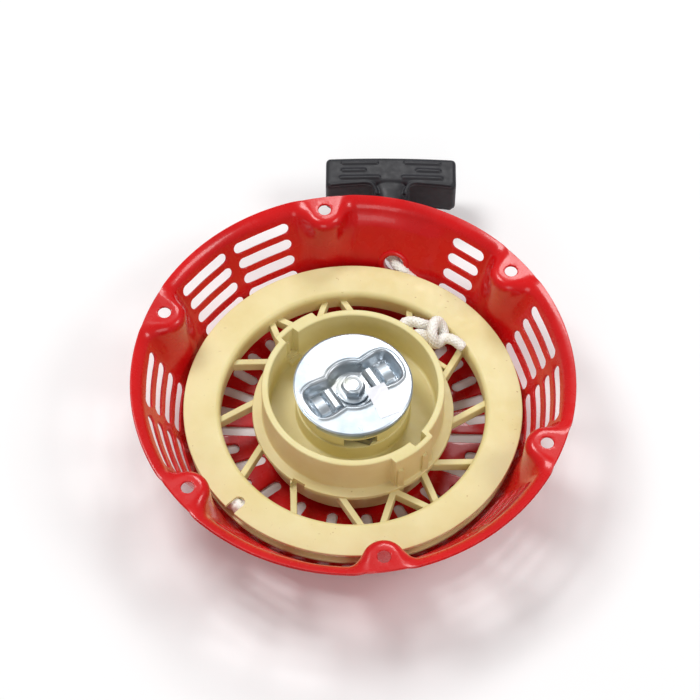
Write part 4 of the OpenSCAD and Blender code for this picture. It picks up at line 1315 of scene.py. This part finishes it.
@dataclass
class Grip:
    """The T-grip: a bowed bar with ridges and a ledge, a neck and a pocket for the knot."""

    x: float = 18.86
    z: float = -30.5
    stem_y: float = 94.6
    bar_y: float = 131.1
    half: tuple = (34.0, 8.5, 11.0)
    corner: float = 3.0
    end_r: float = 2.2
    bow: tuple = (2.6, 1.0)
    ridges: tuple = ((-4.6, 6.2, 26.5), (0.0, 12.4, 26.5), (4.6, 5.0, 27.5))
    ridge_r: float = 1.35
    pocket_r: float = 6.6
    seat_y: float = 129.1
    rope_r: float = 3.1
    voxel: float = 0.42

    @property
    def mid_y(self) -> float:
        """Middle of the bar."""
        return self.bar_y + self.half[1]

    def bar(self) -> bpy.types.Object:
        """The bar, lofted along its length."""
        long, deep, tall = self.half
        xs = [-long + self.end_r * (1 - math.cos(math.radians(a))) for a in range(0, 91, 15)]
        xs += list(np.linspace(-long + self.end_r + 1, long - self.end_r - 1, 40)) + [-v for v in xs[::-1]]
        rows, count = [], 0
        for x in xs:
            gone = max(abs(x) - (long - self.end_r), 0)
            inset = self.end_r - math.sqrt(max(self.end_r**2 - gone**2, 0))
            c = self.corner
            share = (x / long) ** 2
            section = []
            for sy, sz, start in ((1, 1, 0), (-1, 1, 90), (-1, -1, 180), (1, -1, 270)):
                section += arc(sy * (deep - c), sz * (tall - c), c - 0.6 * inset, start, start + 90, 6)
            for y, z in section:
                y -= share * (self.bow[0] if y < 0 else self.bow[1])
                z_in = z * (1 - 0.4 * inset / tall)
                rows.append((self.x + x, self.mid_y + y * (1 - 0.4 * inset / deep), self.z + z_in))
            count = len(section)
        faces = grid_faces(len(xs), count, False, True)
        faces += [list(range(count)), list(range(len(rows) - count, len(rows)))]
        return make_object("bar", np.array(rows), faces, Finish.GRIP.material)

    def neck(self) -> bpy.types.Object:
        """The neck, lofted from the bar to the stem's tip."""
        stations = [(self.bar_y + 4, 10.4, 10.0, 3.4), (self.bar_y, 9.6, 10.0, 3.4),
                    (self.bar_y - 3, 8.2, 9.8, 3.2), (self.bar_y - 7, 7.3, 9.0, 2.8),
                    (self.bar_y - 14, 6.9, 8.0, 2.4), (self.stem_y + 8, 6.7, 7.0, 2.1),
                    (self.stem_y + 1.2, 6.6, 6.6, 2.0), (self.stem_y + 0.3, 6.2, 6.2, 2.0),
                    (self.stem_y, 5.6, 5.6, 2.0)]
        rows, steps = [], 64
        for y, wide, tall, power in stations:
            for k in range(steps):
                c, s = math.cos(2 * math.pi * k / steps), math.sin(2 * math.pi * k / steps)
                rows.append((self.x + wide * math.copysign(abs(c) ** (2 / power), c), y,
                             self.z + tall * math.copysign(abs(s) ** (2 / power), s)))
        faces = grid_faces(len(stations), steps, False, True)
        faces += [list(range(steps)), list(range(len(rows) - steps, len(rows)))]
        return make_object("neck", np.array(rows), faces, Finish.GRIP.material)

    def bead(self, points: Sequence, r: float) -> bpy.types.Object:
        """A rod with rounded ends along a route."""
        line = StarterRope().smooth_path(points, 0.8)
        reach = np.minimum(np.arange(len(line)), np.arange(len(line))[::-1]) * 0.8
        radii = r * np.sqrt(np.clip(1 - (1 - np.clip(reach / r, 0, 1)) ** 2, 0.02, 1))
        heading = np.gradient(line, axis=0)
        heading /= np.linalg.norm(heading, axis=1)[:, None]
        side = np.cross(heading, [0, 0, 1.0])
        side /= np.linalg.norm(side, axis=1)[:, None]
        up = np.cross(side, heading)
        a = np.arange(16) * 2 * math.pi / 16
        ring = np.cos(a)[None, :, None] * side[:, None] + np.sin(a)[None, :, None] * up[:, None]
        rows = line[:, None] + radii[:, None, None] * ring
        faces = grid_faces(len(line), 16, False, True)
        faces += [list(range(16)), [16 * (len(line) - 1) + i for i in range(16)]]
        return make_object("bead", rows.reshape(-1, 3), faces, Finish.GRIP.material)

    def beads(self) -> list:
        """The ridges on both faces, and the ledge along the front edge of each."""
        long, deep, tall = self.half
        pieces = []
        for way in (-1, 1):
            for face in (-1, 1):
                z = self.z + face * (tall - 0.55)
                for row, low, high in self.ridges:
                    y = self.mid_y - row - 0.4
                    pieces.append(self.bead([(self.x + way * t, y - self.bow[1] * (t / long) ** 2, z)
                                             for t in np.linspace(low, high, 6)], self.ridge_r))
                front = self.mid_y - deep + 1.1
                high_z = self.z + face * (tall - 1.0)
                edge = [(self.x + way * t, front - self.bow[0] * (t / long) ** 2, high_z)
                        for t in np.linspace(long - 1.6, 13, 8)]
                edge += [(self.x + way * 10.0, front - 1.2, self.z + face * (tall - 1.3)),
                         (self.x + way * 8.2, front - 3.6, self.z + face * (tall - 2.2)),
                         (self.x + way * 7.3, front - 7.0, self.z + face * (tall - 3.6))]
                pieces.append(self.bead(edge, 1.15))
        return pieces

    def rod(self, r: float, low: float, high: float) -> bpy.types.Object:
        """A round cutter along the rope's axis."""
        steps = 72
        turns = [2 * math.pi * k / steps for k in range(steps)]
        rows = [(self.x + r * math.cos(a), y, self.z + r * math.sin(a)) for y in (low, high) for a in turns]
        faces = grid_faces(2, steps, False, True) + [list(range(steps)), list(range(steps, 2 * steps))]
        return make_object("cutter", np.array(rows), faces, Finish.GRIP.material)

    def build(self) -> None:
        """Builds the grip and dresses the plug in its pocket."""
        body = join([self.bar(), self.neck(), *self.beads()])
        remesh = body.modifiers.new("skin", "REMESH")
        remesh.mode, remesh.voxel_size = "VOXEL", self.voxel * MM
        soften = body.modifiers.new("soften", "SMOOTH")
        soften.factor, soften.iterations = 0.5, 3
        plain_copy(body)
        boolean(body, [self.rod(self.pocket_r, self.seat_y, self.mid_y + 12),
                       self.rod(self.rope_r, self.stem_y - 2, self.seat_y + 1)], "DIFFERENCE")
        clean(body, 50.0)
        body.data.materials.clear()
        body.data.materials.append(Finish.GRIP.material)
        body.name = "grip_moulding"
        give(body, "grip", "grip_plastic", "grip")
        dress("grip_insert", Finish.ZINC)


# ---------------------------------------------------------------- camera and light


@dataclass
class Studio:
    """White table, soft lights and the product camera."""

    lens: float = 144.19
    place: tuple = (0.0, -0.7258, 1.1667)
    tilt: float = 31.885
    roll: float = 0.474
    shift: tuple = (-0.00455, 0.0375)
    lights: tuple = (
        ("key", (-0.5, 0.35, 1.1), 0.45, 7.5),
        ("back", (0.15, 0.85, 1.0), 0.35, 4.0),
        ("side", (0.85, -0.1, 0.9), 0.4, 4.0),
        ("front", (-0.1, -1.1, 0.7), 0.6, 3.0),
    )
    sky: float = 0.3

    def camera(self) -> None:
        """Places the camera."""
        data = bpy.data.cameras.new("product_camera")
        data.lens, data.sensor_width = self.lens, 36.0
        data.shift_x, data.shift_y = self.shift
        data.clip_start, data.clip_end = 0.05, 20.0
        camera = bpy.data.objects.new("product_camera", data)
        spin = Matrix.Rotation(math.radians(self.roll), 4, "Z")
        turn = Matrix.Rotation(math.radians(self.tilt), 4, "X")
        camera.matrix_world = Matrix.Translation(self.place) @ turn @ spin
        bpy.context.scene.collection.objects.link(camera)
        bpy.context.scene.camera = camera

    def table(self) -> None:
        """Lays the white table under the starter."""
        shader = Shader("table_white")
        shader.link(shader.ramp(shader.noise(3, 2), [(0.3, (0.93, 0.93, 0.93)), (0.7, (0.95, 0.95, 0.95))]),
                    shader.bsdf.inputs["Base Color"])
        shader.set(Roughness=0.6, Specular_IOR_Level=0.25)
        mesh = bpy.data.meshes.new("table")
        z = CAD_BOX[0].z
        mesh.from_pydata([(-3, -3, z), (3, -3, z), (3, 3, z), (-3, 3, z)], [], [(0, 1, 2, 3)])
        mesh.materials.append(shader.material)
        table = bpy.data.objects.new("table", mesh)
        bpy.context.scene.collection.objects.link(table)

    def light(self) -> None:
        """Sets the area lights and the pale surroundings."""
        world = bpy.data.worlds.new("surroundings")
        world.use_nodes = True
        background = world.node_tree.nodes["Background"]
        background.inputs["Color"].default_value = (1.0, 1.0, 1.0, 1.0)
        background.inputs["Strength"].default_value = self.sky
        bpy.context.scene.world = world
        for name, place, size, watts in self.lights:
            data = bpy.data.lights.new(name, "AREA")
            data.shape, data.size, data.energy = "SQUARE", size, watts
            lamp = bpy.data.objects.new(name, data)
            lamp.location = place
            aim = -lamp.location.normalized()
            lamp.rotation_euler = aim.to_track_quat("-Z", "Y").to_euler()
            bpy.context.scene.collection.objects.link(lamp)

    def build(self) -> None:
        """Sets everything round the starter."""
        self.camera()
        self.table()
        self.light()
        view = bpy.context.scene.view_settings
        view.view_transform, view.look, view.exposure = "Standard", "None", 0.0


def main() -> None:
    """Builds the whole scene."""
    logging.basicConfig(level=logging.INFO, format="%(name)s: %(message)s")
    for part in (Housing(), Reel(), GuidePlate(), SettingBolt(), StarterRope(), Grip()):
        part.build()
    Studio().build()


if __name__ == "__main__":
    main()
